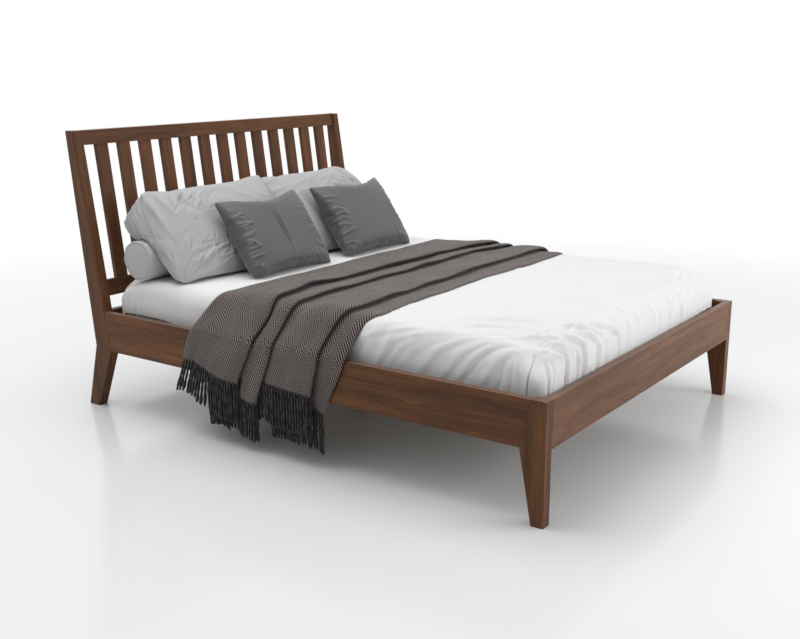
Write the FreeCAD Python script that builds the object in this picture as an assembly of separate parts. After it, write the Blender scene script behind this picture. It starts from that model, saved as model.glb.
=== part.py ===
import FreeCAD, Part
import math
import os

# A slatted double bed with its bedding. Millimetres, +Z up, head end at +Y,
# origin on the floor under the middle of the bed.

# Mattress, which the frame is made round
mattress_length = 1990.0
mattress_width = 1590.0
mattress_height = 198.0
mattress_corner = 80.0
mattress_edge = 45.0
mattress_end_gap = 12.5
mattress_side_gap = 27.0
sheet_thickness = 1.5

# Frame
rail_top = 416.0
rail_height = 164.0
side_rail_thickness = 28.0
end_rail_thickness = 30.0
head_rail_setback = 35.0
leg_width = 42.0
edge_round = 2.0

# Foot legs, seen from the side
foot_leg_top_depth = 57.0
foot_leg_shoulder_depth = 93.0
foot_leg_foot_depth = 45.0

# Head posts, seen from the side: places are measured forward from the top's back edge
headboard_height = 1145.0
post_top_depth = 51.0
post_shoulder_depth = 91.0
post_shoulder_back = 102.0
post_kink_rise = 14.0
post_foot_depth = 60.0
post_foot_back = 35.0
post_corner_round = 9.0

# Headboard infill
top_rail_height = 60.0
lower_rail_height = 68.0
lower_rail_gap = 52.0
headboard_rail_thickness = 34.0
headboard_slat_count = 13
headboard_slat_end_gap = 76.0
headboard_slat_width = 58.0
headboard_slat_thickness = 22.0
headboard_slat_tenon = 14.0

# Tenons of the cross rails
tenon_length = 20.0
tenon_thickness = 14.0
tenon_shoulder = 12.0

# Side rail bolts and their threaded sleeves
bolt_diameter = 8.0
bolt_head_diameter = 13.0
bolt_head_height = 8.0
bolt_reach = 25.0
bolt_entry = 23.0
bolt_height_shares = (0.17, 0.75)
sleeve_diameter = 12.0
sleeve_length = 18.0
sleeve_setback = 3.0
pocket_length = 45.0
pocket_height = 20.0
pocket_depth = 22.0

# Mattress support
mattress_recess = 60.0
bed_slat_count = 12
bed_slat_width = 70.0
bed_slat_thickness = 18.0
bed_slat_end_gap = 2.0
cleat_width = 25.0
cleat_height = 30.0
cleat_end_gap = 10.0
beam_width = 45.0
beam_height = 60.0
beam_end_gap = 0.5
centre_leg_width = 45.0
centre_leg_place_shares = (0.33, 0.67)
dowel_diameter = 20.0
dowel_length = 25.0
bracket_leg = 30.0
bracket_height = 46.0
bracket_thickness = 3.0

# Wood screws
screw_diameter = 4.0
screw_head_diameter = 8.0
screw_head_height = 2.4
slat_screw_length = 30.0
cleat_screw_length = 40.0
bracket_screw_length = 18.0

# Bolster, as long as the mattress is wide
bolster_diameter = 162.0
bolster_end_round = 16.0
bolster_from_head = 324.0

# Pillows: lean is the angle of the seam plane from the floor
pillow_left_width = 745.0
pillow_right_width = 655.0
pillow_chord = 447.0
pillow_lean = 50.3
pillow_front_crown = 60.0
pillow_belly = 27.0
pillow_saddle = 46.0
pillow_bulge = 98.0
pillow_belly_share = 0.3
pillow_saddle_share = 0.58
pillow_bulge_share = 0.86
pillow_corner_rise = 8.0
pillow_bolster_gap = 2.0
pillow_parting = -2.0
pillow_gap = 10.0

# Cushions
cushion_width = 495.0
cushion_chord = 372.0
cushion_front_crown = 60.0
cushion_back_crown = 48.0
cushion_corner_rise = 16.0
cushion_pillow_gap = 2.0
cushion_left_x = -242.5
cushion_right_x = 382.5

# Stuffed forms: stations along the width and how full the form is there
station_shares = (-0.5, -0.47, -0.38, -0.2, 0.0, 0.2, 0.38, 0.47, 0.5)
pillow_fullness_shares = (0.45, 0.72, 0.92, 0.99, 1.0, 0.99, 0.92, 0.72, 0.45)
cushion_fullness_shares = (0.08, 0.26, 0.66, 0.94, 1.0, 0.94, 0.66, 0.26, 0.08)

# Throw: its head edge is measured from the back of the bed
throw_from_head = 758.0
throw_width = 715.0
throw_waist = 30.0
throw_lean = 120.0
throw_rail_lean_share = 0.38
throw_base = 5.0
throw_fold_height = 22.0
throw_hem_head = 293.0
throw_hem_foot = 204.0
throw_rail_gap = 3.0
throw_shoulder_steps = 3
throw_top_place_shares = (-0.5, 0.0, 0.5)
fold_line_shares = (0.0, 0.35, 0.51, 0.85, 1.0)
fold_crown_shares = (0.45, 1.0, 0.55, 0.9)
fringe_length = 150.0
fringe_thickness = 4.0

# Fits
joint_clearance = 0.1
soft_clearance = 0.3
overrun = 10.0

# How nearly an edge has to run along an axis to count as lying on it
parallel_share = 0.999

# Places worked out from the sizes above
inner_length = mattress_length + 2 * mattress_end_gap
head_end_depth = post_shoulder_back + post_shoulder_depth - head_rail_setback
overall_length = end_rail_thickness + inner_length + head_end_depth
foot_face = -overall_length / 2
head_back = overall_length / 2
rail_inner = mattress_width / 2 + mattress_side_gap
half_width = rail_inner + side_rail_thickness
rail_bottom = rail_top - rail_height
leg_inner = half_width - leg_width
foot_rail_inner = foot_face + end_rail_thickness
head_rail_front = head_back - head_end_depth
post_shoulder_front = head_back - post_shoulder_back - post_shoulder_depth
post_top_front = head_back - post_top_depth
headboard_slat_span = 2 * (leg_inner - headboard_slat_end_gap) - headboard_slat_width
headboard_slat_pitch = headboard_slat_span / (headboard_slat_count - 1)
slat_top = rail_top - mattress_recess
cleat_top = slat_top - bed_slat_thickness
cleat_start = foot_face + foot_leg_shoulder_depth + cleat_end_gap
cleat_end = post_shoulder_front - cleat_end_gap
beam_bottom = cleat_top - beam_height
bed_slat_pitch = (cleat_end - cleat_start - bed_slat_width) / (bed_slat_count - 1)
mattress_bottom = slat_top + soft_clearance
mattress_middle = foot_rail_inner + inner_length / 2
sheet_grow = soft_clearance + sheet_thickness
sheet_top = mattress_bottom + mattress_height + sheet_grow
sheet_side = mattress_width / 2 + sheet_grow
sheet_edge = mattress_edge + sheet_grow
rest_top = sheet_top + soft_clearance
throw_head_edge = head_back - throw_from_head
pillow_left_x = pillow_parting - (pillow_gap + pillow_left_width) / 2
pillow_right_x = pillow_parting + (pillow_gap + pillow_right_width) / 2

# The headboard leans along the middle line of the posts
post_middle_top = head_back - post_top_depth / 2
post_middle_low = post_shoulder_front + post_shoulder_depth / 2
lean_run = post_middle_top - post_middle_low
lean_rise = headboard_height - rail_bottom
headboard_lean = math.atan2(lean_run, lean_rise)


def vec(x, y, z):
    return FreeCAD.Vector(x, y, z)


def block(x0, x1, y0, y1, z0, z1):
    """Box between two corners."""
    return Part.makeBox(x1 - x0, y1 - y0, z1 - z0, vec(x0, y0, z0))


def side_prism(points, x0, x1):
    """Solid with an outline in the YZ plane, from x0 to x1."""
    corners = [vec(x0, y, z) for y, z in points]
    outline = Part.makePolygon(corners + corners[:1])
    return Part.Face(outline).extrude(vec(x1 - x0, 0, 0))


def rod(start, direction, length, diameter):
    return Part.makeCylinder(diameter / 2, length, start, direction)


def mirror_x(shape):
    return shape.mirror(vec(0, 0, 0), vec(1, 0, 0))


def round_along(shape, axis, radius):
    """Round every straight edge that runs along one axis."""
    edges = []
    for edge in shape.Edges:
        run = edge.Vertexes[-1].Point - edge.Vertexes[0].Point
        if run.Length > radius and abs(run.normalize().dot(axis)) > parallel_share:
            edges.append(edge)
    return shape.makeFillet(radius, edges)


def edges_between(shape, pairs, x):
    """Edges in the plane at x whose ends match pairs of (y, z) points."""
    found = []
    for edge in shape.Edges:
        ends = [vertex.Point for vertex in edge.Vertexes]
        for first, second in pairs:
            goal = [vec(x, *first), vec(x, *second)]
            same = ends[0].isEqual(goal[0], joint_clearance) and ends[-1].isEqual(goal[1], joint_clearance)
            swapped = ends[0].isEqual(goal[1], joint_clearance) and ends[-1].isEqual(goal[0], joint_clearance)
            if same or swapped:
                found.append(edge)
    return found


def leg_back(z):
    """Back edge of a foot leg beside the rail."""
    share = (z - rail_bottom) / rail_height
    depth = foot_leg_shoulder_depth + share * (foot_leg_top_depth - foot_leg_shoulder_depth)
    return foot_face + depth


def post_front(z):
    """Front edge of a head post above its shoulder."""
    share = (z - rail_bottom) / (headboard_height - rail_bottom)
    return post_shoulder_front + share * (post_top_front - post_shoulder_front)


def board_place(shape):
    """Turn a piece of the upright headboard back to its lean and set it between the posts."""
    placed = shape.copy()
    placed.rotate(vec(0, 0, 0), vec(1, 0, 0), -math.degrees(headboard_lean))
    placed.translate(vec(0, post_middle_low, rail_bottom))
    return placed


def board_height(z):
    """Distance up the leaning headboard of a height above the floor."""
    return (z - rail_bottom) / math.cos(headboard_lean)


def board_tenons(low, high, grow):
    reach = leg_inner + tenon_length + grow
    half = tenon_thickness / 2 + grow
    return block(-reach, reach, -half, half, low + tenon_shoulder - grow, high - tenon_shoulder + grow)


def board_levels():
    """Heights up the board of the lower rail and the top rail."""
    low = board_height(rail_top + lower_rail_gap)
    top = board_height(headboard_height)
    return low, low + lower_rail_height, top - top_rail_height, top


def board_slat(index, grow=0.0):
    low, low_top, top_low, top = board_levels()
    middle = (index - (headboard_slat_count - 1) / 2) * headboard_slat_pitch
    half_x = headboard_slat_width / 2 + grow
    half_y = headboard_slat_thickness / 2 + grow
    bottom = low_top - headboard_slat_tenon - grow
    upper = top_low + headboard_slat_tenon + grow
    slat = block(middle - half_x, middle + half_x, -half_y, half_y, bottom, upper)
    if grow == 0.0:
        slat = round_along(slat, vec(0, 0, 1), edge_round)
    return slat


def board_slat_mortises():
    """The slats' own shape a clearance larger, with the edges left square inside the rails."""
    return [board_slat(index, joint_clearance) for index in range(headboard_slat_count)]


def headboard_top_rail():
    """Top rail between the posts, planed level with their tops."""
    low, low_top, top_low, top = board_levels()
    half = headboard_rail_thickness / 2
    crown = half * math.tan(headboard_lean) + overrun
    body = block(-leg_inner, leg_inner, -half, half, top_low, top + crown)
    rail = body.fuse(board_tenons(top_low, top, 0.0)).removeSplitter()
    rail = board_place(rail.cut(board_slat_mortises()))
    above = headboard_height + top_rail_height
    return rail.cut(block(-half_width, half_width, 0, overall_length, headboard_height, above))


def headboard_lower_rail():
    low, low_top, top_low, top = board_levels()
    half = headboard_rail_thickness / 2
    body = block(-leg_inner, leg_inner, -half, half, low, low_top)
    body = round_along(body, vec(1, 0, 0), edge_round)
    rail = body.fuse(board_tenons(low, low_top, 0.0)).removeSplitter()
    return board_place(rail.cut(board_slat_mortises()))


def bolt_lines():
    """Side rail bolts, each as (y of the joint, z of the axis, way along Y into the rail)."""
    lines = []
    for share in bolt_height_shares:
        z = rail_bottom + share * rail_height
        lines.append((leg_back(z), z, 1))
        lines.append((post_front(z), z, -1))
    return lines


def bolt_x():
    return half_width - side_rail_thickness / 2


def sleeve_holes():
    """Holes in the right-hand legs for the threaded sleeves and the bolt tips beyond them."""
    holes = []
    for y, z, way in bolt_lines():
        hole = sleeve_diameter + 2 * joint_clearance
        start = vec(bolt_x(), y + way * overrun, z)
        depth = sleeve_setback + sleeve_length + 2 * joint_clearance + overrun
        holes.append(rod(start, vec(0, -way, 0), depth, hole))
        tip = bolt_entry + overrun + bolt_diameter / 2
        holes.append(rod(start, vec(0, -way, 0), tip, bolt_diameter + 2 * joint_clearance))
    return holes


def end_rail_tenons(front, grow):
    """Tenons of the foot or head end rail, whose front face lies at the given y."""
    middle = front + end_rail_thickness / 2
    half = tenon_thickness / 2 + grow
    reach = leg_inner + tenon_length + grow
    low = rail_bottom + tenon_shoulder - grow
    high = rail_top - tenon_shoulder + grow
    return block(-reach, reach, middle - half, middle + half, low, high)


def end_rail(front):
    body = block(-leg_inner, leg_inner, front, front + end_rail_thickness, rail_bottom, rail_top)
    body = round_along(body, vec(1, 0, 0), edge_round)
    body = body.fuse(end_rail_tenons(front, 0.0)).removeSplitter()
    return body.cut([screw_hole(screw) for screw in rail_bracket_screws()])


def foot_leg():
    """Right-hand foot leg: upright in front, swelling behind to the underside of the rail."""
    outline = [
        (foot_face, 0),
        (foot_face, rail_top),
        (foot_face + foot_leg_top_depth, rail_top),
        (foot_face + foot_leg_shoulder_depth, rail_bottom),
        (foot_face + foot_leg_foot_depth, 0),
    ]
    leg = side_prism(outline, leg_inner, half_width)
    pairs = [(outline[0], outline[1]), (outline[2], outline[3]), (outline[3], outline[4])]
    rounded = edges_between(leg, pairs, leg_inner) + edges_between(leg, pairs, half_width)
    leg = leg.makeFillet(edge_round, rounded)
    return leg.cut([end_rail_tenons(foot_face, joint_clearance)] + sleeve_holes())


def head_post():
    """Right-hand head post: a raked back leg below the rail and a leaning post above it."""
    kink = (head_back - post_shoulder_back, rail_bottom + post_kink_rise)
    foot = (head_back - post_foot_back, 0)
    toe = (head_back - post_foot_back - post_foot_depth, 0)
    shoulder = (post_shoulder_front, rail_bottom)
    top_front = (post_top_front, headboard_height)
    top_back = (head_back, headboard_height)
    post = side_prism([toe, foot, kink, top_back, top_front, shoulder], leg_inner, half_width)
    post = post.makeFillet(post_corner_round, edges_between(post, [(shoulder, top_front)], half_width))
    rest = [(foot, kink), (kink, top_back)]
    rims = edges_between(post, rest, half_width) + edges_between(post, rest, leg_inner)
    post = post.makeFillet(edge_round, rims)
    low, low_top, top_low, top = board_levels()
    mortises = [board_place(board_tenons(low, low_top, joint_clearance))]
    mortises.append(board_place(board_tenons(top_low, top, joint_clearance)))
    mortises.append(end_rail_tenons(head_rail_front, joint_clearance))
    return post.cut(mortises + sleeve_holes())


def side_rail():
    """Right-hand side rail, cut to the slope of the leg and of the post, with pockets for its bolts."""
    outline = [
        (leg_back(rail_bottom), rail_bottom),
        (leg_back(rail_top), rail_top),
        (post_front(rail_top), rail_top),
        (post_front(rail_bottom), rail_bottom),
    ]
    rail = side_prism(outline, rail_inner, half_width)
    rail = round_along(rail, vec(0, 1, 0), edge_round)
    cuts = []
    for y, z, way in bolt_lines():
        near = y + way * bolt_reach
        far = near + way * pocket_length
        low = z - pocket_height / 2
        pocket = (min(near, far), max(near, far), low, low + pocket_height)
        cuts.append(block(rail_inner - overrun, rail_inner + pocket_depth, *pocket))
        start = vec(bolt_x(), near + way * overrun, z)
        run = bolt_reach + 2 * overrun
        cuts.append(rod(start, vec(0, -way, 0), run, bolt_diameter + 2 * joint_clearance))
    cuts += [screw_hole(screw) for screw in cleat_screw_places()]
    return rail.cut(cuts)


def bed_bolts():
    bolts = []
    for y, z, way in bolt_lines():
        seat = y + way * bolt_reach
        ahead = vec(0, -way, 0)
        shank = rod(vec(bolt_x(), seat, z), ahead, bolt_reach + bolt_entry, bolt_diameter)
        crown = vec(bolt_x(), seat + way * bolt_head_height, z)
        head = rod(crown, ahead, bolt_head_height, bolt_head_diameter)
        bolt = shank.fuse(head).removeSplitter()
        bolts += [bolt, mirror_x(bolt)]
    return Part.makeCompound(bolts)


def bolt_sleeves():
    sleeves = []
    for y, z, way in bolt_lines():
        start = vec(bolt_x(), y - way * sleeve_setback, z)
        ahead = vec(0, -way, 0)
        outer = rod(start, ahead, sleeve_length, sleeve_diameter)
        mouth = start + vec(0, way * overrun, 0)
        bore_diameter = bolt_diameter + 2 * joint_clearance
        sleeve = outer.cut(rod(mouth, ahead, sleeve_length + 2 * overrun, bore_diameter))
        sleeves += [sleeve, mirror_x(sleeve)]
    return Part.makeCompound(sleeves)


def screw_solid(screw, grow=0.0):
    """Countersunk screw: (head place, direction into the wood, length)."""
    place, direction, length = screw
    radius = screw_diameter / 2 + grow
    head_radius = screw_head_diameter / 2 + grow
    profile = [
        vec(0, 0, -grow),
        vec(head_radius, 0, -grow),
        vec(head_radius, 0, grow),
        vec(radius, 0, screw_head_height + grow),
        vec(radius, 0, length - radius),
        vec(0, 0, length + grow),
    ]
    if grow == 0.0:
        profile.pop(2)
    face = Part.Face(Part.makePolygon(profile + profile[:1]))
    solid = face.revolve(vec(0, 0, 0), vec(0, 0, 1), 360)
    turn = FreeCAD.Rotation(vec(0, 0, 1), direction)
    solid.Placement = FreeCAD.Placement(place, turn)
    return solid


def screw_hole(screw):
    return screw_solid(screw, joint_clearance)


def bed_slat_middle(index):
    return cleat_start + bed_slat_width / 2 + index * bed_slat_pitch


def slat_screw_places(index):
    x = rail_inner - cleat_width / 2
    y = bed_slat_middle(index)
    return [(vec(side * x, y, slat_top), vec(0, 0, -1), slat_screw_length) for side in (-1, 1)]


def cleat_screw_places():
    """Right-hand cleat screws, between every other pair of slats."""
    places = []
    for index in range(0, bed_slat_count - 1, 2):
        y = bed_slat_middle(index) + bed_slat_pitch / 2
        head = vec(rail_inner - cleat_width, y, cleat_top - cleat_height / 2)
        places.append((head, vec(1, 0, 0), cleat_screw_length))
    return places


def beam_ends():
    """The two end rail faces that carry the beam, each with the way along Y towards the beam."""
    return [(foot_rail_inner, 1), (head_rail_front, -1)]


def bracket_middle():
    return cleat_top - beam_height / 2


def rail_bracket_screws():
    screws = []
    for face, way in beam_ends():
        for side in (-1, 1):
            x = side * (beam_width / 2 + bracket_leg / 2)
            place = vec(x, face + way * bracket_thickness, bracket_middle())
            screws.append((place, vec(0, -way, 0), bracket_screw_length))
    return screws


def beam_bracket_screws():
    screws = []
    for face, way in beam_ends():
        for side in (-1, 1):
            x = side * (beam_width / 2 + bracket_thickness)
            place = vec(x, face + way * bracket_leg / 2, bracket_middle())
            screws.append((place, vec(-side, 0, 0), bracket_screw_length))
    return screws


def beam_brackets():
    """Four steel angles that hold the beam between the end rails."""
    brackets = []
    holes = [screw_hole(screw) for screw in rail_bracket_screws() + beam_bracket_screws()]
    low = bracket_middle() - bracket_height / 2
    high = low + bracket_height
    for face, way in beam_ends():
        tip = face + way * bracket_leg
        skin = face + way * bracket_thickness
        x0 = beam_width / 2
        along_beam = block(x0, x0 + bracket_thickness, min(face, tip), max(face, tip), low, high)
        along_rail = block(x0, x0 + bracket_leg, min(face, skin), max(face, skin), low, high)
        angle = along_beam.fuse(along_rail).removeSplitter()
        brackets += [angle.cut(holes), mirror_x(angle).cut(holes)]
    return Part.makeCompound(brackets)


def centre_leg_place(share):
    return foot_rail_inner + share * inner_length


def dowel(share, grow):
    start = vec(0, centre_leg_place(share), beam_bottom)
    return rod(start, vec(0, 0, 1), dowel_length + grow, dowel_diameter + 2 * grow)


def centre_beam():
    half = beam_width / 2
    start = foot_rail_inner + beam_end_gap
    end = head_rail_front - beam_end_gap
    beam = block(-half, half, start, end, beam_bottom, cleat_top)
    holes = [dowel(share, joint_clearance) for share in centre_leg_place_shares]
    return beam.cut(holes + [screw_hole(screw) for screw in beam_bracket_screws()])


def centre_leg(share):
    half = centre_leg_width / 2
    y = centre_leg_place(share)
    leg = block(-half, half, y - half, y + half, 0, beam_bottom)
    leg = round_along(leg, vec(0, 0, 1), edge_round)
    return leg.fuse(dowel(share, 0.0)).removeSplitter()


def side_cleat():
    low = cleat_top - cleat_height
    cleat = block(rail_inner - cleat_width, rail_inner, cleat_start, cleat_end, low, cleat_top)
    screws = cleat_screw_places()
    for index in range(bed_slat_count):
        screws = screws + slat_screw_places(index)
    return cleat.cut([screw_hole(screw) for screw in screws])


def bed_slat(index):
    half = rail_inner - bed_slat_end_gap
    y = bed_slat_middle(index)
    slat = block(-half, half, y - bed_slat_width / 2, y + bed_slat_width / 2, cleat_top, slat_top)
    slat = round_along(slat, vec(1, 0, 0), edge_round)
    return slat.cut([screw_hole(screw) for screw in slat_screw_places(index)])


def rounded_slab(grow, low, high, round_bottom):
    """Mattress outline grown all round, with rounded corners and a rounded top edge."""
    half_x = mattress_width / 2 + grow
    half_y = mattress_length / 2 + grow
    slab = block(-half_x, half_x, mattress_middle - half_y, mattress_middle + half_y, low, high)
    slab = round_along(slab, vec(0, 0, 1), mattress_corner + grow)
    levels = [high, low] if round_bottom else [high]
    rims = []
    for edge in slab.Edges:
        box = edge.BoundBox
        if box.ZLength < joint_clearance and any(abs(box.ZMin - level) < joint_clearance for level in levels):
            rims.append(edge)
    return slab.makeFillet(mattress_edge + grow, rims)


def mattress():
    return rounded_slab(0.0, mattress_bottom, mattress_bottom + mattress_height, True)


def bed_sheet():
    """Thin cover over the top and sides of the mattress, open underneath."""
    low = mattress_bottom + mattress_edge
    outer = rounded_slab(sheet_grow, low, sheet_top, False)
    inner = rounded_slab(soft_clearance, low - overrun, sheet_top - sheet_thickness, False)
    return outer.cut(inner)


def bolster_axis():
    y = head_back - bolster_from_head
    return y, rest_top + bolster_diameter / 2


def bolster():
    y, z = bolster_axis()
    roll = rod(vec(-mattress_width / 2, y, z), vec(1, 0, 0), mattress_width, bolster_diameter)
    rims = [edge for edge in roll.Edges if edge.BoundBox.XLength < joint_clearance]
    return roll.makeFillet(bolster_end_round, rims)


def stuffed_form(seat_y, middle_x, width, chord, corner_rise, fullness_shares, front, back):
    """Crowned pillow that leans back from its lower seam, which lies on the sheet at seat_y.

    Each station is a front arc and one or two back arcs that meet at the seams. back lists the
    points of the back arcs from the upper seam down, as (share of the chord, depth). The upper
    seam rises towards the corners."""
    lean = math.radians(pillow_lean)
    up = vec(0, math.cos(lean), math.sin(lean))
    out = vec(0, -math.sin(lean), math.cos(lean))
    sections = []
    for station, fullness in zip(station_shares, fullness_shares):
        low = vec(middle_x + station * width, seat_y, rest_top)
        reach = chord + corner_rise * (2 * station) ** 2
        high = low + up * reach
        edges = [Part.Arc(low, low + up * (reach / 2) + out * (front * fullness), high).toShape()]
        points = [low + up * (reach * share) - out * (depth * fullness) for share, depth in back]
        points = [high] + points + [low]
        for first in range(0, len(points) - 1, 2):
            edges.append(Part.Arc(*points[first:first + 3]).toShape())
        sections.append(Part.Wire(edges))
    return Part.makeLoft(sections, True, False)


def pillow_seat():
    """Place of the lower seam that rests the pillow's back on the bolster."""
    lean = math.radians(pillow_lean)
    y, z = bolster_axis()
    apart = bolster_diameter / 2 + pillow_saddle + pillow_bolster_gap
    return y - (apart + (z - rest_top) * math.cos(lean)) / math.sin(lean)


def cushion_seat():
    """Place of the lower seam that rests the cushion's back on the pillow's front."""
    apart = pillow_front_crown + cushion_back_crown + cushion_pillow_gap
    return pillow_seat() - apart / math.sin(math.radians(pillow_lean))


def pillow(middle_x, width):
    """Pillow whose back dips over the bolster and swells behind it."""
    back = [
        (pillow_bulge_share, pillow_bulge),
        (pillow_saddle_share, pillow_saddle),
        (pillow_belly_share, pillow_belly),
    ]
    size = (width, pillow_chord, pillow_corner_rise)
    return stuffed_form(pillow_seat(), middle_x, *size, pillow_fullness_shares, pillow_front_crown, back)


def cushion(middle_x):
    back = [(0.5, cushion_back_crown)]
    size = (cushion_width, cushion_chord, cushion_corner_rise)
    return stuffed_form(cushion_seat(), middle_x, *size, cushion_fullness_shares, cushion_front_crown, back)


def throw_stations():
    """Underside of the throw from the right-hand hem over the bed to the left-hand one.

    Each station is (x, z, normal angle, share of the lean towards the head); a hem has no single z."""
    corner_x = sheet_side - sheet_edge
    corner_z = sheet_top - sheet_edge
    radius = sheet_edge + soft_clearance
    rail_x = half_width + throw_rail_gap
    rail_z = rail_top + throw_rail_gap
    away = math.hypot(rail_x - corner_x, rail_z - corner_z)
    towards = math.atan2(rail_z - corner_z, rail_x - corner_x)
    leave = towards + math.acos(radius / away)
    step = (math.pi / 2 - leave) / throw_shoulder_steps
    reach = radius / math.cos(step / 2)
    right = [(rail_x, None, 0.0, 1.0), (rail_x, rail_z, leave / 2, throw_rail_lean_share)]
    for index in range(throw_shoulder_steps + 1):
        angle = leave + index * step
        right.append((corner_x + reach * math.cos(angle), corner_z + reach * math.sin(angle), angle, 0.0))
    top = [(-share * sheet_side, right[-1][1], math.pi / 2, 0.0) for share in throw_top_place_shares]
    left = [(-x, z, math.pi - angle, leant) for x, z, angle, leant in reversed(right)]
    return right + top + left


def throw_section(station):
    """Cross-section of the throw: flat underneath, four rolled folds on top."""
    x, z, angle, leant = station
    waist = throw_waist * max(0.0, 1 - (x / sheet_side) ** 2)
    head = throw_head_edge + throw_lean * leant
    width = throw_width - waist
    normal = vec(math.cos(angle), 0, math.sin(angle))

    def point(share, height):
        level = throw_hem_head + share * (throw_hem_foot - throw_hem_head) if z is None else z
        return vec(x, head - share * width, level) + normal * height

    edges = [Part.makeLine(point(1, 0), point(0, 0)), Part.makeLine(point(0, 0), point(0, throw_base))]
    for start, end, crown in zip(fold_line_shares, fold_line_shares[1:], fold_crown_shares):
        middle = point((start + end) / 2, throw_base + crown * (throw_fold_height - throw_base))
        edges.append(Part.Arc(point(start, throw_base), middle, point(end, throw_base)).toShape())
    edges.append(Part.makeLine(point(1, throw_base), point(1, 0)))
    return Part.Wire(edges)


def throw_blanket():
    return Part.makeLoft([throw_section(station) for station in throw_stations()], True, True)


def throw_fringe():
    """Two thin bands of fringe that hang from the hems."""
    head = throw_head_edge + throw_lean
    foot = head - throw_width
    outline = [
        (head, throw_hem_head),
        (foot, throw_hem_foot),
        (foot, throw_hem_foot - fringe_length),
        (head, throw_hem_head - fringe_length),
    ]
    inner = half_width + throw_rail_gap
    band = side_prism(outline, inner, inner + fringe_thickness)
    return Part.makeCompound([band, mirror_x(band)])


def screw_group(screws):
    return Part.makeCompound([screw_solid(screw) for screw in screws])


def cleat_screws():
    right = screw_group(cleat_screw_places())
    return Part.makeCompound(right.Solids + mirror_x(right).Solids)


def slat_screws():
    screws = []
    for index in range(bed_slat_count):
        screws += slat_screw_places(index)
    return screw_group(screws)


def all_nodes():
    nodes = {}
    for name, right in (("foot_leg", foot_leg()), ("head_post", head_post()), ("side_rail", side_rail())):
        nodes[name + "_right"] = right
        nodes[name + "_left"] = mirror_x(right)
    nodes["foot_rail"] = end_rail(foot_face)
    nodes["head_end_rail"] = end_rail(head_rail_front)
    nodes["headboard_top_rail"] = headboard_top_rail()
    nodes["headboard_lower_rail"] = headboard_lower_rail()
    for index in range(headboard_slat_count):
        nodes["headboard_slat_%02d" % (index + 1)] = board_place(board_slat(index))
    cleat = side_cleat()
    nodes["side_cleat_right"] = cleat
    nodes["side_cleat_left"] = mirror_x(cleat)
    nodes["centre_beam"] = centre_beam()
    for name, share in zip(("foot", "head"), centre_leg_place_shares):
        nodes["centre_leg_" + name] = centre_leg(share)
    for index in range(bed_slat_count):
        nodes["bed_slat_%02d" % (index + 1)] = bed_slat(index)
    nodes["beam_brackets"] = beam_brackets()
    nodes["bed_bolts"] = bed_bolts()
    nodes["bolt_sleeves"] = bolt_sleeves()
    nodes["cleat_screws"] = cleat_screws()
    nodes["slat_screws"] = slat_screws()
    nodes["bracket_screws"] = screw_group(rail_bracket_screws() + beam_bracket_screws())
    nodes["mattress"] = mattress()
    nodes["bed_sheet"] = bed_sheet()
    nodes["bolster"] = bolster()
    nodes["pillow_left"] = pillow(pillow_left_x, pillow_left_width)
    nodes["pillow_right"] = pillow(pillow_right_x, pillow_right_width)
    nodes["cushion_left"] = cushion(cushion_left_x)
    nodes["cushion_right"] = cushion(cushion_right_x)
    nodes["throw_blanket"] = throw_blanket()
    nodes["throw_fringe"] = throw_fringe()
    return nodes


os.makedirs("parts", exist_ok=True)
for node_name, node_shape in all_nodes().items():
    node_shape.exportStep("parts/" + node_name + ".step")
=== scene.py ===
import math

import bpy
import numpy as np
from bpy.props import FloatProperty, FloatVectorProperty, PointerProperty
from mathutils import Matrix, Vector


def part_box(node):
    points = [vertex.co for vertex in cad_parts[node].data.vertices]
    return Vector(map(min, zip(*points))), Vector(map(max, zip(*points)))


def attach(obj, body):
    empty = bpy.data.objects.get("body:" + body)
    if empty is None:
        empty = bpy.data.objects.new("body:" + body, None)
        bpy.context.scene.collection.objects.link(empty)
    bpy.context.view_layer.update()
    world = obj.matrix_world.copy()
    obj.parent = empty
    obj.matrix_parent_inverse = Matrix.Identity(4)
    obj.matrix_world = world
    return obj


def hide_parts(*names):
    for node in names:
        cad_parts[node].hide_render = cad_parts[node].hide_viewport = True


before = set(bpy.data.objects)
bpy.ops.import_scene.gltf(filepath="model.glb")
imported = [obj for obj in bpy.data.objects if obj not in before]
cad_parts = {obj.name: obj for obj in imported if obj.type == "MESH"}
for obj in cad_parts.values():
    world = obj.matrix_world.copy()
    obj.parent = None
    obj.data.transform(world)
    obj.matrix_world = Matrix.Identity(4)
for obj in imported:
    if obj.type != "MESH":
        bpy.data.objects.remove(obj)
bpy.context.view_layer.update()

bl_info = {
    "name": "Slatted Double Bed",
    "version": (1, 0, 0),
    "blender": (4, 5, 0),
    "location": "View3D > Sidebar > Bed",
    "description": "Dresses a slatted wooden double bed with its bedding, finishes and studio",
    "category": "Object",
}

# Places taken from the frame, in metres
SHEET_LOW, SHEET_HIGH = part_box("bed_sheet")
MATTRESS_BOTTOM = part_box("mattress")[0].z
BOLSTER_LOW, BOLSTER_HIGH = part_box("bolster")
BOLSTER_RADIUS = (BOLSTER_HIGH.z - BOLSTER_LOW.z) / 2
BOLSTER_CENTRE = np.array([(BOLSTER_HIGH.y + BOLSTER_LOW.y) / 2, (BOLSTER_HIGH.z + BOLSTER_LOW.z) / 2])
RAIL_LOW, RAIL_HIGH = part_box("side_rail_left")
RAIL_OUTER = -RAIL_LOW.x
FRINGE_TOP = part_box("throw_fringe")[1].z
BED_TOP = SHEET_HIGH.z
SHEET_HALF = np.array([SHEET_HIGH.x, (SHEET_HIGH.y - SHEET_LOW.y) / 2])
SHEET_MIDDLE = np.array([0.0, (SHEET_HIGH.y + SHEET_LOW.y) / 2])
SHEET_FALL = BED_TOP - SHEET_LOW.z

# Inner faces of the side rails and the foot rail, less a little room for the sheet
RAIL_INNER = 0.8195
FOOT_INNER = -1.069

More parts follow.
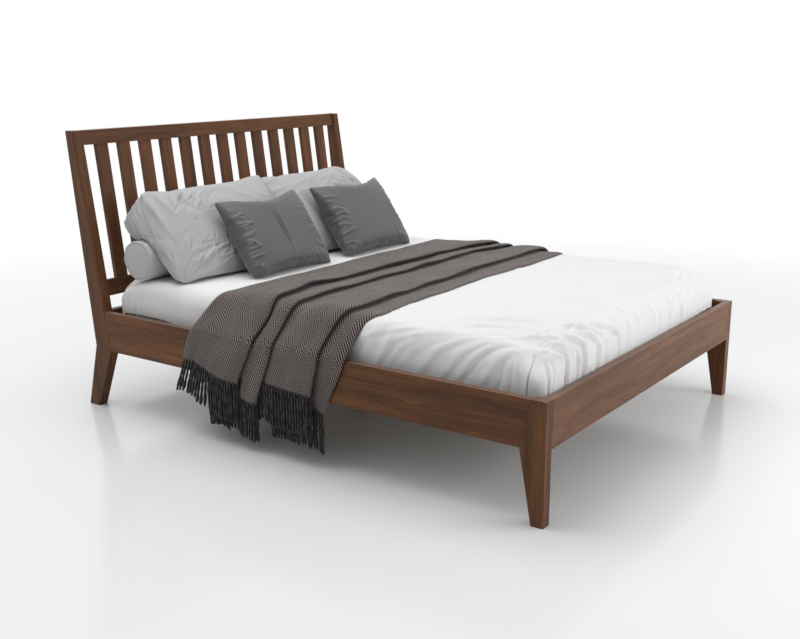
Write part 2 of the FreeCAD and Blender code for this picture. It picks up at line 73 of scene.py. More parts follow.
# Radii of the sheet's upper edge, and of its corners in plan: near the foot, at the head, far at the foot
SHEET_EDGE, HEAD_EDGE, FAR_EDGE = 0.072, 0.038, 0.045
SHEET_CORNER, HEAD_CORNER, FAR_CORNER = 0.085, 0.075, 0.105

# Looseness of the sheet: its bulge and droop at the corners, the root of the pleats, the slit at the corner
CORNER_FILL = 0.014
SHEET_DROOP, DROOP_REACH, DROOP_INSET = 0.048, 0.085, 0.03
FAN_CORNER = 0.105
SLIT_PLACE = 0.044
SHEET_CELL = 0.0069
SHEET_REACH = SHEET_FALL + SHEET_EDGE * (math.pi / 2 - 2)
SHEET_FLAT = (2 * (SHEET_HIGH.x + SHEET_REACH), SHEET_HIGH.y - SHEET_LOW.y + 2 * SHEET_REACH)
MATTRESS_GAP = 0.0105

# Lean of the pillows, as an angle of the seam plane from the floor
PILLOW_LEAN = math.radians(50.3)
CHORD_UP = Vector((0, math.cos(PILLOW_LEAN), math.sin(PILLOW_LEAN)))
CHORD_OUT = Vector((0, -math.sin(PILLOW_LEAN), math.cos(PILLOW_LEAN)))
HEADBOARD_LEAN = math.radians(7.86)
REST_TOP = BED_TOP + 0.0003
PILLOW_SEAT = 0.5426
PILLOW_CHORD = 0.447
PILLOW_FRONT = 0.060
CUSHION_SEAT = 0.3995
CUSHION_CHORD = 0.372
CUSHION_RISE = 0.016
CUSHION_FRONT = 0.060
CUSHION_BACK = 0.0475
CUSHION_SLANT = 0.040

DARK_WOOD_ALONG = {
    "x": ["foot_rail", "head_end_rail", "headboard_top_rail", "headboard_lower_rail"],
    "y": ["side_rail_left", "side_rail_right"],
    "z": ["foot_leg_left", "foot_leg_right"],
    "lean": ["head_post_left", "head_post_right"] + ["headboard_slat_%02d" % n for n in range(1, 14)],
}
PALE_WOOD_ALONG = {
    "x": ["bed_slat_%02d" % n for n in range(1, 13)],
    "y": ["side_cleat_left", "side_cleat_right", "centre_beam"],
    "z": ["centre_leg_foot", "centre_leg_head"],
}
STEEL_NODES = ["beam_brackets", "bed_bolts", "bolt_sleeves", "cleat_screws", "slat_screws", "bracket_screws"]
GRAIN_TURN = {
    "x": (0, 0, 0),
    "y": (0, 0, math.pi / 2),
    "z": (0, math.pi / 2, 0),
    "lean": (HEADBOARD_LEAN, math.pi / 2, 0),
}
GRAIN_SHIFT = {"z": (0.3, 0.21, 0.33)}
# Pale colour blended onto upward faces of the wood as a painted highlight
TOP_HIGHLIGHT_WOOD = (0.36, 0.25, 0.19)
WHITE = (1, 1, 1, 1)


def colour(name, description, default):
    return FloatVectorProperty(
        name=name, description=description, subtype="COLOR", size=3, min=0, max=1, default=default
    )


def length(name, description, default):
    return FloatProperty(name=name, description=description, unit="LENGTH", default=default)


class BedWood(bpy.types.PropertyGroup):
    dark: colour("Walnut streaks", "Darkest streaks of the stained frame", (0.036, 0.0172, 0.0095))
    middle: colour("Walnut ground", "Main colour of the stained frame", (0.115, 0.0460, 0.0170))
    light: colour("Walnut highlights", "Palest streaks of the stained frame", (0.228, 0.0875, 0.0285))
    pale: colour("Softwood", "Main colour of the slats under the mattress", (0.29, 0.225, 0.16))
    steel: colour("Zinc", "Colour of the plated fittings", (0.58, 0.58, 0.56))


class BedCloth(bpy.types.PropertyGroup):
    sheet: colour("Sheet", "White cotton of the sheet", (0.84, 0.84, 0.845))
    ticking: colour("Ticking", "Cover of the mattress", (0.55, 0.54, 0.52))
    bolster: colour("Bolster", "Grey cotton of the bolster", (0.52, 0.515, 0.51))
    pillow: colour("Pillows", "Light grey cotton of the pillows", (0.455, 0.457, 0.461))
    cushion: colour("Cushions", "Dark satin of the cushions", (0.098, 0.098, 0.099))
    throw_light: colour("Throw, light yarn", "Warm grey yarn of the throw", (0.295, 0.247, 0.234))
    throw_dark: colour("Throw, dark yarn", "Dark yarn of the throw", (0.014, 0.011, 0.0105))
    fringe: colour("Fringe", "Twisted yarn of the fringe", (0.0145, 0.0128, 0.0126))
    fold_overlap: length("Fold overlap", "How far each fold of the throw lies over the next", 0.09)
    fold_height: length("Fold height", "Height of the throw's rolled folds", 0.022)
    fringe_length: length("Fringe length", "Length of a tassel", FRINGE_TOP - 0.154)
    tassel_pitch: length("Tassel pitch", "Distance from tassel to tassel along the hem", 0.0145)
    herringbone: length("Herringbone column", "Width of a column of the weave", 0.033)
    twill: length("Twill pitch", "Distance between the slanting lines of the weave", 0.0102)


class BedStage(bpy.types.PropertyGroup):
    floor: colour("Floor", "Colour of the studio floor", (0.872, 0.882, 0.891))
    lens: FloatProperty(name="Lens", description="Focal length in mm on a 36 mm sensor", default=47.71)
    floor_size: length("Floor size", "Side of the square floor", 60.0)


def settings():
    return bpy.context.scene.bed_wood, bpy.context.scene.bed_cloth, bpy.context.scene.bed_stage


# Mesh helpers

def clear_selection():
    if bpy.context.object and bpy.context.object.mode != "OBJECT":
        bpy.ops.object.mode_set(mode="OBJECT")
    bpy.ops.object.select_all(action="DESELECT")


def pick(piece):
    """Make one object the only selected and active one."""
    clear_selection()
    piece.select_set(True)
    bpy.context.view_layer.objects.active = piece


def points_of(piece):
    flat = np.empty(len(piece.data.vertices) * 3)
    piece.data.vertices.foreach_get("co", flat)
    return flat.reshape(-1, 3)


def set_points(piece, points):
    piece.data.vertices.foreach_set("co", np.asarray(points, float).ravel())
    piece.data.update()


def cloth_grid(name, columns, rows):
    """Unit grid object, with the place of each vertex on it as shares across and along."""
    clear_selection()
    bpy.ops.mesh.primitive_grid_add(x_subdivisions=columns, y_subdivisions=rows, size=1)
    piece = bpy.context.object
    piece.name = name
    piece.data.name = name
    shares = points_of(piece)[:, :2] + 0.5
    return piece, shares[:, 0], shares[:, 1]


def set_uv(piece, across, along, layer=0):
    """Write one UV pair per vertex to one of the piece's UV maps."""
    corners = np.empty(len(piece.data.loops), dtype=np.int32)
    piece.data.loops.foreach_get("vertex_index", corners)
    pairs = np.column_stack([across, along])[corners]
    piece.data.uv_layers[layer].data.foreach_set("uv", pairs.astype(np.float32).ravel())


def edit_all(piece, *actions):
    """Run mesh operators, each with its options, on the whole of a piece."""
    pick(piece)
    bpy.ops.object.mode_set(mode="EDIT")
    bpy.ops.mesh.select_all(action="SELECT")
    for action, options in actions:
        action(**options)
    bpy.ops.object.mode_set(mode="OBJECT")


FACE_OUTWARD = (bpy.ops.mesh.normals_make_consistent, {"inside": False})


def merge_doubles(piece, distance):
    edit_all(piece, (bpy.ops.mesh.remove_doubles, {"threshold": distance}), FACE_OUTWARD)


def modify(piece, kind, **options):
    """Add a modifier to a piece and apply it."""
    pick(piece)
    bpy.ops.object.modifier_add(type=kind)
    modifier = piece.modifiers[-1]
    for name, value in options.items():
        setattr(modifier, name, value)
    bpy.ops.object.modifier_apply(modifier=modifier.name)


def finish_piece(piece, body, slot, material, *nodes):
    """Give a new piece its finish and tie it to the frame."""
    piece.data.materials.clear()
    piece.data.materials.append(material)
    pick(piece)
    bpy.ops.object.shade_smooth()
    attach(piece, body)
    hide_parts(*nodes)


# Fold helpers

def smooth_step(value):
    clipped = np.clip(value, 0, 1)
    return clipped * clipped * (3 - 2 * clipped)


def curved_fold(points, path, width, height, power=2):
    """Height of one ridge that runs along a path over a plan, fading out at both ends.

    A power of two gives a soft ridge, and a power of one a sharp crease."""
    path = np.asarray(path, float)
    runs = np.diff(path, axis=0)
    lengths = np.linalg.norm(runs, axis=1)
    travel = np.concatenate([[0], np.cumsum(lengths)])
    reach = 3 * width
    near = np.flatnonzero(np.all((points > path.min(0) - reach) & (points < path.max(0) + reach), axis=1))
    best = np.full(len(near), np.inf)
    place = np.zeros(len(near))
    for start, run, size, passed in zip(path, runs, lengths, travel):
        offset = points[near] - start
        share = np.clip(offset @ run / size ** 2, 0, 1)
        away = np.linalg.norm(offset - share[:, None] * run, axis=1)
        place = np.where(away < best, passed + share * size, place)
        best = np.minimum(best, away)
    total = np.zeros(len(points))
    taper = np.sin(np.pi * (0.12 + 0.76 * place / travel[-1]))
    total[near] = height * taper * np.exp(-((best / width) ** power))
    return total


def fold_height(points, start, end, width, height):
    """Height of one soft ridge that runs between two points of a plan."""
    return curved_fold(points, (start, end), width, height)


def polar(size, angle):
    """Step of a given size on a plan, in a direction in degrees."""
    return size * np.array([math.cos(math.radians(angle)), math.sin(math.radians(angle))])


def bowed(start, run, bow):
    """Path that starts at a point, runs by a step and bows at its middle."""
    return start, start + 0.5 * run + bow, start + run


# Shader helpers

def add_node(tree, kind, inputs=None, **options):
    """Add a node, set its options, and set or link its inputs."""
    node = tree.nodes.new(kind)
    for name, value in options.items():
        setattr(node, name, value)
    for name, value in (inputs or {}).items():
        if isinstance(value, bpy.types.NodeSocket):
            tree.links.new(value, node.inputs[name])
        else:
            node.inputs[name].default_value = value
    return node


def calculate(tree, operation, first, second=0.0):
    return add_node(tree, "ShaderNodeMath", {0: first, 1: second}, operation=operation).outputs[0]


def weighted(tree, *parts):
    """Sum of values, each times its weight."""
    total = None
    for value, weight in parts:
        part = calculate(tree, "MULTIPLY", value, weight)
        total = calculate(tree, "ADD", total, part) if total else part
    return total


def wave(tree, value, wavelength):
    """Sine of a length, with one turn in each wavelength."""
    return calculate(tree, "SINE", calculate(tree, "MULTIPLY", value, 2 * math.pi / wavelength))


def blend_colours(tree, factor, first, second, mode="MIX"):
    sockets = {0: factor, 6: first, 7: second}
    return add_node(tree, "ShaderNodeMix", sockets, data_type="RGBA", blend_type=mode).outputs[2]


def shaded(tree, tint, tone):
    """Colour times a grey tone."""
    grey = add_node(tree, "ShaderNodeCombineColor", {0: tone, 1: tone, 2: tone}).outputs[0]
    return blend_colours(tree, 1.0, tint, grey, "MULTIPLY")


def remap(tree, value, low, high, to_low=0.0, to_high=1.0):
    inputs = {"Value": value, "From Min": low, "From Max": high, "To Min": to_low, "To Max": to_high}
    return add_node(tree, "ShaderNodeMapRange", inputs).outputs[0]


def noise(tree, vector, scale, detail=3.0, distortion=0.0):
    inputs = {"Vector": vector, "Scale": scale, "Detail": detail, "Distortion": distortion}
    return add_node(tree, "ShaderNodeTexNoise", inputs).outputs["Fac"]


def drawn_out(tree, vector, scale, detail, distortion=0.0):
    """Noise with its own scale along each axis."""
    place = add_node(tree, "ShaderNodeMapping", {"Vector": vector, "Scale": scale}).outputs[0]
    return noise(tree, place, 1.0, detail, distortion)


def object_place(tree):
    return add_node(tree, "ShaderNodeTexCoord").outputs["Object"]


def uv_place(tree, layer):
    return add_node(tree, "ShaderNodeUVMap", uv_map=layer).outputs[0]


def split(tree, vector):
    return add_node(tree, "ShaderNodeSeparateXYZ", {0: vector}).outputs


def shown_rays(tree):
    """One for the rays by which the camera sees a surface, directly or in a reflection."""
    rays = add_node(tree, "ShaderNodeLightPath").outputs
    seen = calculate(tree, "MAXIMUM", rays["Is Camera Ray"], rays["Is Glossy Ray"])
    return calculate(tree, "MAXIMUM", seen, rays["Is Transmission Ray"])


def new_group(name, inputs, outputs):
    """Shader node group with named sockets; returns it with its input and output nodes."""
    tree = bpy.data.node_groups.new(name, "ShaderNodeTree")
    for way, sockets in (("INPUT", inputs), ("OUTPUT", outputs)):
        for label, kind in sockets.items():
            tree.interface.new_socket(name=label, in_out=way, socket_type="NodeSocket" + kind)
    return tree, tree.nodes.new("NodeGroupInput").outputs, tree.nodes.new("NodeGroupOutput").inputs


def place_group(tree, group, inputs):
    return add_node(tree, "ShaderNodeGroup", inputs, node_tree=group).outputs


def new_material(name, **shader_values):
    """Material with one Principled BSDF whose plain values are set on its own sockets."""
    material = bpy.data.materials.new(name)
    material.use_nodes = True
    tree = material.node_tree
    shader = tree.nodes["Principled BSDF"]
    for label, value in shader_values.items():
        shader.inputs[label.replace("_", " ")].default_value = value
    return material, tree, shader


def bump(tree, shader, height, distance):
    node = add_node(tree, "ShaderNodeBump", {"Height": height, "Distance": distance, "Strength": 1.0})
    tree.links.new(node.outputs[0], shader.inputs["Normal"])


def rgba(tint, share=1.0):
    """Colour times a share, with full alpha."""
    return (*(share * part for part in tint), 1.0)


# Shared effects

def wood_grain_group():
    """Straight timber grain that runs along X: streaks, darker bands and fine open pores."""
    group = bpy.data.node_groups.get("Wood Grain")
    if group:
        return group
    inputs = {"Vector": "Vector", "Dark": "Color", "Middle": "Color", "Light": "Color"}
    outputs = {"Color": "Color", "Roughness": "Float", "Height": "Float"}
    tree, source, result = new_group("Wood Grain", inputs, outputs)
    sway = calculate(tree, "MULTIPLY", drawn_out(tree, source["Vector"], (2.6, 6, 6), 2.0), 0.07)
    wander = add_node(tree, "ShaderNodeCombineXYZ", {"Y": sway, "Z": sway}).outputs[0]
    bent = {0: source["Vector"], 1: wander}
    bent = add_node(tree, "ShaderNodeVectorMath", bent, operation="ADD").outputs[0]
    broad = remap(tree, drawn_out(tree, bent, (0.7, 11, 11), 1.0), 0.32, 0.68)
    bands = remap(tree, drawn_out(tree, bent, (0.9, 26, 26), 3.0, 0.35), 0.26, 0.72)
    streaks = remap(tree, drawn_out(tree, bent, (3.0, 150, 150), 4.0, 0.2), 0.3, 0.7)
    pores = remap(tree, drawn_out(tree, bent, (22, 900, 900), 1.0), 0.6, 0.72)
    tone = weighted(tree, (broad, 0.30), (bands, 0.38), (streaks, 0.32))
    low = blend_colours(tree, remap(tree, tone, 0.05, 0.5), source["Dark"], source["Middle"])
    ground = blend_colours(tree, remap(tree, tone, 0.5, 0.95), low, source["Light"])
    final = blend_colours(tree, calculate(tree, "MULTIPLY", pores, 0.45), ground, source["Dark"])
    tree.links.new(final, result["Color"])
    tree.links.new(remap(tree, tone, 0.0, 1.0, 0.5, 0.36), result["Roughness"])
    tree.links.new(weighted(tree, (streaks, 0.4), (pores, -1.0)), result["Height"])
    return tree


def cotton_group():
    """Plain woven cloth: crossing threads and a soft uneven tone."""
    group = bpy.data.node_groups.get("Plain Weave")
    if group:
        return group
    inputs = {"Vector": "Vector", "Color": "Color", "Thread": "Float", "Mottle": "Float"}
    tree, source, result = new_group("Plain Weave", inputs, {"Color": "Color", "Height": "Float"})
    parts = split(tree, source["Vector"])
    threads = []
    for axis in ("X", "Y", "Z"):
        turned = calculate(tree, "MULTIPLY", parts[axis], source["Thread"])
        threads.append(calculate(tree, "SINE", turned))
    weave = calculate(tree, "MULTIPLY", calculate(tree, "ADD", threads[0], threads[2]), threads[1])
    cloud = noise(tree, source["Vector"], 6.0, 4.0)
    fleck = noise(tree, source["Vector"], 160.0, 2.0)
    uneven = calculate(tree, "SUBTRACT", weighted(tree, (cloud, 0.6), (fleck, 0.4)), 0.5)
    tone = calculate(tree, "ADD", calculate(tree, "MULTIPLY", uneven, source["Mottle"]), 1.0)
    tree.links.new(shaded(tree, source["Color"], tone), result["Color"])
    tree.links.new(calculate(tree, "ADD", weave, fleck), result["Height"])
    return tree


# Materials

def wood_material(name, along, dark, middle, light):
    """Timber with its grain along one direction, and a painted highlight that makes its upper faces paler."""
    material, tree, shader = new_material(name, Coat_Weight=0.03, Coat_Roughness=0.3, Specular_IOR_Level=0.2)
    shift = GRAIN_SHIFT.get(along, (0, 0, 0))
    turn = {"Vector": object_place(tree), "Rotation": GRAIN_TURN[along], "Location": shift}
    turned = add_node(tree, "ShaderNodeMapping", turn).outputs[0]
    inputs = {"Vector": turned, "Dark": rgba(dark), "Middle": rgba(middle), "Light": rgba(light)}
    grain = place_group(tree, wood_grain_group(), inputs)
    # Painted highlight: faces that point up are blended towards a pale colour, as if lit from above
    upward = split(tree, add_node(tree, "ShaderNodeNewGeometry").outputs["Normal"])["Z"]
    painted_top_highlight = calculate(tree, "MULTIPLY", remap(tree, upward, 0.55, 0.95), 0.28)
    pale = blend_colours(tree, painted_top_highlight, grain["Color"], rgba(TOP_HIGHLIGHT_WOOD))
    tree.links.new(pale, shader.inputs["Base Color"])
    tree.links.new(grain["Roughness"], shader.inputs["Roughness"])
    bump(tree, shader, grain["Height"], 0.00025)
    return material


def steel_material(name, tint):
    material, tree, shader = new_material(name, Metallic=1.0)
    place = object_place(tree)
    grain = noise(tree, place, 420.0, 3.0)
    spots = remap(tree, noise(tree, place, 60.0, 2.0), 0.3, 0.7)
    tree.links.new(blend_colours(tree, spots, rgba(tint, 0.72), rgba(tint)), shader.inputs["Base Color"])
    tree.links.new(remap(tree, grain, 0.3, 0.7, 0.28, 0.46), shader.inputs["Roughness"])
    bump(tree, shader, grain, 0.00005)
    return material


def woven_material(name, tint, thread, mottle, depth, **finish):
    """Plain woven cloth with a finish of its own."""
    material, tree, shader = new_material(name, **finish)
    inputs = {"Vector": object_place(tree), "Color": rgba(tint), "Thread": thread, "Mottle": mottle}
    weave = place_group(tree, cotton_group(), inputs)
    tree.links.new(weave["Color"], shader.inputs["Base Color"])
    bump(tree, shader, weave["Height"], depth)
    return material


def cotton_material(name, tint, thread, mottle, roughness, sheen):
    finish = {"Roughness": roughness, "Sheen_Weight": sheen, "Sheen_Roughness": 0.5}
    finish["Specular_IOR_Level"] = 0.25
    return woven_material(name, tint, thread, mottle, 0.00012, **finish)


def satin_material(name, tint):
    """Dark satin: a fine weave with a soft sheen along the light."""
    finish = {"Roughness": 0.5, "Sheen_Weight": 0.35, "Sheen_Roughness": 0.35, "Specular_IOR_Level": 0.45}
    return woven_material(name, tint, 3200.0, 0.1, 0.00006, **finish)


def herringbone_material(name, light, dark, column, pitch):
    """Wool twill whose slant turns back at each column, on the throw's own UV map in metres.

    The rolled lips of the folds, marked by a UV map of their own, are darkened by painted shade broken up
    like a twisted cord."""
    finish = {"Roughness": 0.85, "Sheen_Weight": 0.25, "Sheen_Roughness": 0.4, "Specular_IOR_Level": 0.15}
    material, tree, shader = new_material(name, **finish)
    uv = uv_place(tree, "UVMap")
    across, along = split(tree, uv)["X"], split(tree, uv)["Y"]
    rolled = split(tree, uv_place(tree, "LipShade"))["X"]
    fuzz = noise(tree, uv, 240.0, 3.0)
    zigzag = calculate(tree, "PINGPONG", across, column)
    slant = calculate(tree, "ADD", calculate(tree, "ADD", zigzag, along), weighted(tree, (fuzz, 0.0009)))
    twill = remap(tree, wave(tree, slant, pitch), -0.3, 0.3)
    lit = calculate(tree, "MULTIPLY", twill, remap(tree, fuzz, 0.25, 0.75, 0.82, 1.0))
    mixed = blend_colours(tree, lit, rgba(dark), rgba(light))
    cord = remap(tree, wave(tree, calculate(tree, "ADD", along, across), 0.012), -1.0, 1.0, 0.55, 0.95)
    # Painted shade: the rolled lips are darkened, broken up along a cord-like twist
    shadow = calculate(tree, "MULTIPLY", remap(tree, rolled, 0.71, 0.88), cord)
    cloud = remap(tree, noise(tree, uv, 9.0, 4.0), 0.3, 0.7, 0.86, 1.1)
    tone = calculate(tree, "MULTIPLY", cloud, remap(tree, shadow, 0.0, 1.0, 1.0, 0.2))
    tree.links.new(shaded(tree, mixed, tone), shader.inputs["Base Color"])
    yarn = wave(tree, along, 0.3 * pitch)
    bump(tree, shader, weighted(tree, (twill, 1.0), (yarn, 0.2), (fuzz, 0.6)), 0.0009)
    return material


def fringe_material(name, tint):
    """Two-ply yarn: fine slanting threads on each tassel's UV map."""
    material, tree, shader = new_material(name, Roughness=0.9, Sheen_Weight=0.2, Specular_IOR_Level=0.1)
    parts = split(tree, add_node(tree, "ShaderNodeUVMap").outputs[0])
    turn = weighted(tree, (parts["X"], 1.0), (parts["Y"], 90.0))
    ply = remap(tree, wave(tree, turn, 0.5), -1.0, 1.0)
    fuzz = noise(tree, object_place(tree), 500.0, 3.0)
    shade = calculate(tree, "MULTIPLY", ply, remap(tree, fuzz, 0.3, 0.7, 0.6, 1.0))
    yarn = blend_colours(tree, shade, rgba(tint, 0.45), rgba(tint, 4.4))
    tree.links.new(yarn, shader.inputs["Base Color"])
    bump(tree, shader, ply, 0.0008)
    return material


def floor_material(name, tint):
    """Pale glossy floor that keeps the shadow near the bed and runs out to plain white."""
    material, tree, shader = new_material(name, Roughness=0.16, Specular_IOR_Level=0.28)
    shader.inputs["Base Color"].default_value = rgba(tint)
    away = add_node(tree, "ShaderNodeVectorMath", {0: object_place(tree)}, operation="LENGTH")
    far = remap(tree, away.outputs["Value"], 1.55, 4.4)
    fade = calculate(tree, "MULTIPLY", far, shown_rays(tree))
    glow = add_node(tree, "ShaderNodeEmission", {"Color": WHITE, "Strength": 1.0}).outputs[0]
    mixed = add_node(tree, "ShaderNodeMixShader", {0: fade, 1: shader.outputs[0], 2: glow})
    tree.links.new(mixed.outputs[0], tree.nodes["Material Output"].inputs["Surface"])
    return material


# Sheet

def wrap_over_bed(plan):
    """Lay a flat plan over the mattress: top, rounded edge, then straight down to the hem.

    Returns the points, their outward normals and which of them lie past the hem. The corners droop."""
    local = plan - SHEET_MIDDLE
    square = smooth_step((local[:, 0] - 0.35) / 0.3) * smooth_step(-(local[:, 1] + 0.62) / 0.2)
    corner = np.where(local[:, 1] > 0, HEAD_CORNER, np.where(local[:, 0] > 0, FAR_CORNER, SHEET_CORNER))
    core = SHEET_HALF - corner[:, None]
    near = np.clip(local, -core, core)
    away = local - near
    distance = np.linalg.norm(away, axis=1)
    way = away / np.maximum(distance, 1e-9)[:, None]
    edge = SHEET_EDGE + (HEAD_EDGE - SHEET_EDGE) * smooth_step((local[:, 1] - 0.56) / 0.2)
    edge += (FAR_EDGE - edge) * square
    diagonal = (2 * way[:, 0] * way[:, 1]) ** 2 * (1 - square)
    edge += (corner - edge) * diagonal
    flat = corner - edge
    hem = edge * (math.pi / 2 - 1) + SHEET_FALL
    over = np.clip(distance - flat, 0, hem)
    angle = np.clip(over / edge, 0, math.pi / 2)
    out = np.minimum(distance, flat) + edge * np.sin(angle)
    drop = edge * (1 - np.cos(angle)) + np.maximum(over - edge * math.pi / 2, 0)
    out += CORNER_FILL * diagonal * smooth_step(1.4 * drop / SHEET_FALL) * (local[:, 1] < 0)
    spread = np.abs(near + way * out[:, None])
    to_corner = np.linalg.norm(spread - (SHEET_HALF - DROOP_INSET), axis=1)
    droop = SHEET_DROOP * np.exp(-((to_corner / DROOP_REACH) ** 2))
    drop += droop * np.clip(1 - drop / SHEET_FALL, 0, 1)
    points = np.column_stack([SHEET_MIDDLE + near + way * out[:, None], BED_TOP - drop])
    normals = np.column_stack([way * np.sin(angle)[:, None], np.cos(angle)])
    return points, normals, distance - flat >= hem - 1e-7


# Place of each pleat at a corner and its share of the full depth
FAN_PLEATS = (
    (0.042, 1.0),
    (0.082, 0.4),
    (0.122, 0.6),
    (0.165, 1.0),
    (0.21, 0.4),
    (0.28, 0.9),
    (0.345, 0.5),
    (0.45, 0.8),
)


def corner_fan(plan, side, end, middle, half, draw):
    """Pleats that fan out from one corner of the sheet, crisp over the end and broad along the side."""
    core = middle + np.array([side, end]) * (half - FAN_CORNER)
    local = (plan - core) * [-side, end]
    total = np.zeros(len(plan))
    for step, (place, share) in enumerate(FAN_PLEATS):
        away = place + draw.uniform(-0.008, 0.008)
        path = [
            (0.22 * away - 0.034, 0.056 - 0.009 * step),
            (0.62 * away - 0.012, 0.079 - 0.005 * step),
            (0.90 * away, 0.104),
            (away + 0.004, 0.15),
            (away + 0.010, 0.28),
        ]
        width = 0.0055 + 0.0035 * share
        depth = (0.019 if side < 0 else 0.010) * share * draw.uniform(0.9, 1.1)
        total -= curved_fold(local, path, width, depth, 1.25)
        ridge = np.add(path, (0.012 + 0.008 * share, -0.005))
        total += curved_fold(local, ridge, 1.7 * width, 0.0060 * share * draw.uniform(0.8, 1.1))
    for angle in (-14, -4, 6, 60, 72):
        ray = np.array([-math.cos(math.radians(angle)), math.sin(math.radians(angle))])
        bend = draw.uniform(-0.006, 0.006, 2)
        path = (0.085 * ray, 0.15 * ray + bend, 0.30 * ray)
        total -= curved_fold(local, path, draw.uniform(0.006, 0.008), draw.uniform(0.006, 0.010), 1.25)
    away = 0.02 if end < 0 else 1.0
    while away < 0.55:
        path = [
            (-0.052, 0.01 - 0.5 * away),
            (-0.080, -0.012 - 0.78 * away),
            (-0.13, -0.045 - away),
            (-0.23, -0.11 - away * draw.uniform(1.0, 1.12)),
        ]
        total += curved_fold(local, path, draw.uniform(0.011, 0.02), draw.uniform(0.002, 0.0085))
        valley = np.add(path, (-0.004, 0.02))
        total -= curved_fold(local, valley, draw.uniform(0.007, 0.012), draw.uniform(0.001, 0.006))
        away += draw.uniform(0.045, 0.12)
    return total


def sheet_folds(plan):
    """Height of the sheet's wrinkles over its flat plan."""
    draw = np.random.default_rng(11)
    half = np.array([SHEET_HIGH.x, (SHEET_HIGH.y - SHEET_LOW.y) / 2])
    middle = np.array([0.0, (SHEET_HIGH.y + SHEET_LOW.y) / 2])
    low_y, high_y = SHEET_LOW.y, SHEET_HIGH.y
    total = np.zeros(len(plan))
    diagonal = np.array([0.578, -0.816])
    for _ in range(46):
        start = np.array([draw.uniform(-0.78, 0.6), draw.uniform(low_y + 0.12, -0.28)])
        run = diagonal * draw.uniform(0.18, 0.5)
        bow = np.array([0.816, 0.578]) * draw.uniform(-0.03, 0.03)
        path = bowed(start, run, bow)
        total += curved_fold(plan, path, draw.uniform(0.009, 0.016), draw.uniform(0.0035, 0.0080))
    for _ in range(52):
        start = np.array([draw.triangular(-0.76, -0.7, -0.1), low_y + draw.triangular(0.06, 0.08, 0.42)])
        angle = draw.uniform(-70, -38)
        run = polar(draw.uniform(0.08, 0.22), angle)
        path = bowed(start, run, draw.uniform(-0.012, 0.012, 2))
        total += curved_fold(plan, path, draw.uniform(0.007, 0.012), draw.uniform(0.0025, 0.0062), 1.5)
    for side in (-1, 1):
        place = low_y + 0.5
        while place < high_y - 0.08:
            lean = np.clip((0.42 - place) / 0.3, 0.04, 1)
            start = (side * (half[0] - draw.uniform(0.03, 0.1)), place - lean * draw.uniform(0.05, 0.14))
            turn = (side * (half[0] - 0.01), place)
            stop = (side * (half[0] + 0.14), place + lean * draw.uniform(0.02, 0.08))
            path = (start, turn, stop)
            width = draw.uniform(0.011, 0.018) * (0.35 + 0.65 * lean)
            total += curved_fold(plan, path, width, draw.uniform(0.003, 0.0065) * (0.75 + 0.25 * lean))
            place += draw.uniform(0.05, 0.11)
    for end, level in ((-1, low_y), (1, high_y)):
        place = -half[0] + 0.52
        while place < half[0] - 0.34:
            lean = 0.25 * np.sign(place) * draw.uniform(0.02, 0.3)
            start = (place - lean, level - end * draw.uniform(0.05, 0.12))
            stop = (place, level + end * 0.14)
            path = (start, (place - 0.3 * lean, level - end * 0.02), stop)
            total -= curved_fold(plan, path, draw.uniform(0.007, 0.0095), draw.uniform(0.004, 0.010), 1.25)
            ridge = np.add(path, (0.016, 0))
            total += curved_fold(plan, ridge, draw.uniform(0.010, 0.015), draw.uniform(0.002, 0.004))
            place += draw.uniform(0.05, 0.12)
        for side in (-1, 1):
            total += corner_fan(plan, side, end, middle, half, draw)
    for _ in range(44):
        start = np.array([draw.uniform(-0.2, 0.74), low_y + draw.uniform(0.0, 0.28)])
        run = np.array([draw.uniform(-0.03, 0.02), -draw.uniform(0.05, 0.15)])
        path = bowed(start, run, draw.uniform(-0.008, 0.008, 2))
        total += curved_fold(plan, path, draw.uniform(0.007, 0.011), draw.uniform(0.0018, 0.0045), 1.5)
    covered = smooth_step((plan[:, 1] + 0.36) / 0.05) * smooth_step((0.50 - plan[:, 1]) / 0.08)
    total *= 1 - covered
    for side in (-1, 1):
        path = [
            (side * (half[0] - FAN_CORNER + out), low_y + FAN_CORNER - over)
            for out, over in ((0.047, 0.038), (0.085, 0.050), (0.14, 0.060), (0.24, 0.085), (0.30, 0.105))
        ]
        total -= curved_fold(plan, path, 0.003, 0.014)
        total += curved_fold(plan, np.add(path, (0, 0.012)), 0.006, 0.004)
    return total


def crowded(shares, low, high, focus, reach, pull):
    """Spread shares from low to high, drawing the ones near the focus closer to it."""
    plain = np.linspace(low, high, 2001)
    weight = 1 + pull * np.exp(-(((plain - focus) / reach) ** 2))
    travel = np.concatenate([[0], np.cumsum((weight[1:] + weight[:-1]) / 2)])
    return np.interp(shares, travel / travel[-1], plain)


def make_sheet():
    cloth = settings()[1]
    width, span = SHEET_FLAT
    piece, across, along = cloth_grid("bed_sheet_cloth", round(width / SHEET_CELL), round(span / SHEET_CELL))
    middle = (SHEET_HIGH.y + SHEET_LOW.y) / 2
    low = middle - span / 2
    rows = crowded(along, low, low + span, SHEET_LOW.y + SLIT_PLACE, 0.2, 2.2)
    columns = crowded(np.abs(2 * across - 1), 0, width / 2, SHEET_HIGH.x, 0.3, 0.8)
    plan = np.column_stack([np.sign(across - 0.5) * columns, rows])
    points, normals, past = wrap_over_bed(plan)
    points += normals * sheet_folds(plan)[:, None]
    points[:, 0] = np.clip(points[:, 0], -RAIL_INNER, RAIL_INNER)
    points[:, 1] = np.clip(points[:, 1], FOOT_INNER, None)
    set_points(piece, points)
    set_uv(piece, plan[:, 0], plan[:, 1])
    drop_collapsed(piece, past)
    material = cotton_material("sheet_cotton", cloth.sheet, 2400.0, 0.05, 0.75, 0.1)
    finish_piece(piece, "bedding", "sheet_cotton", material, "bed_sheet")


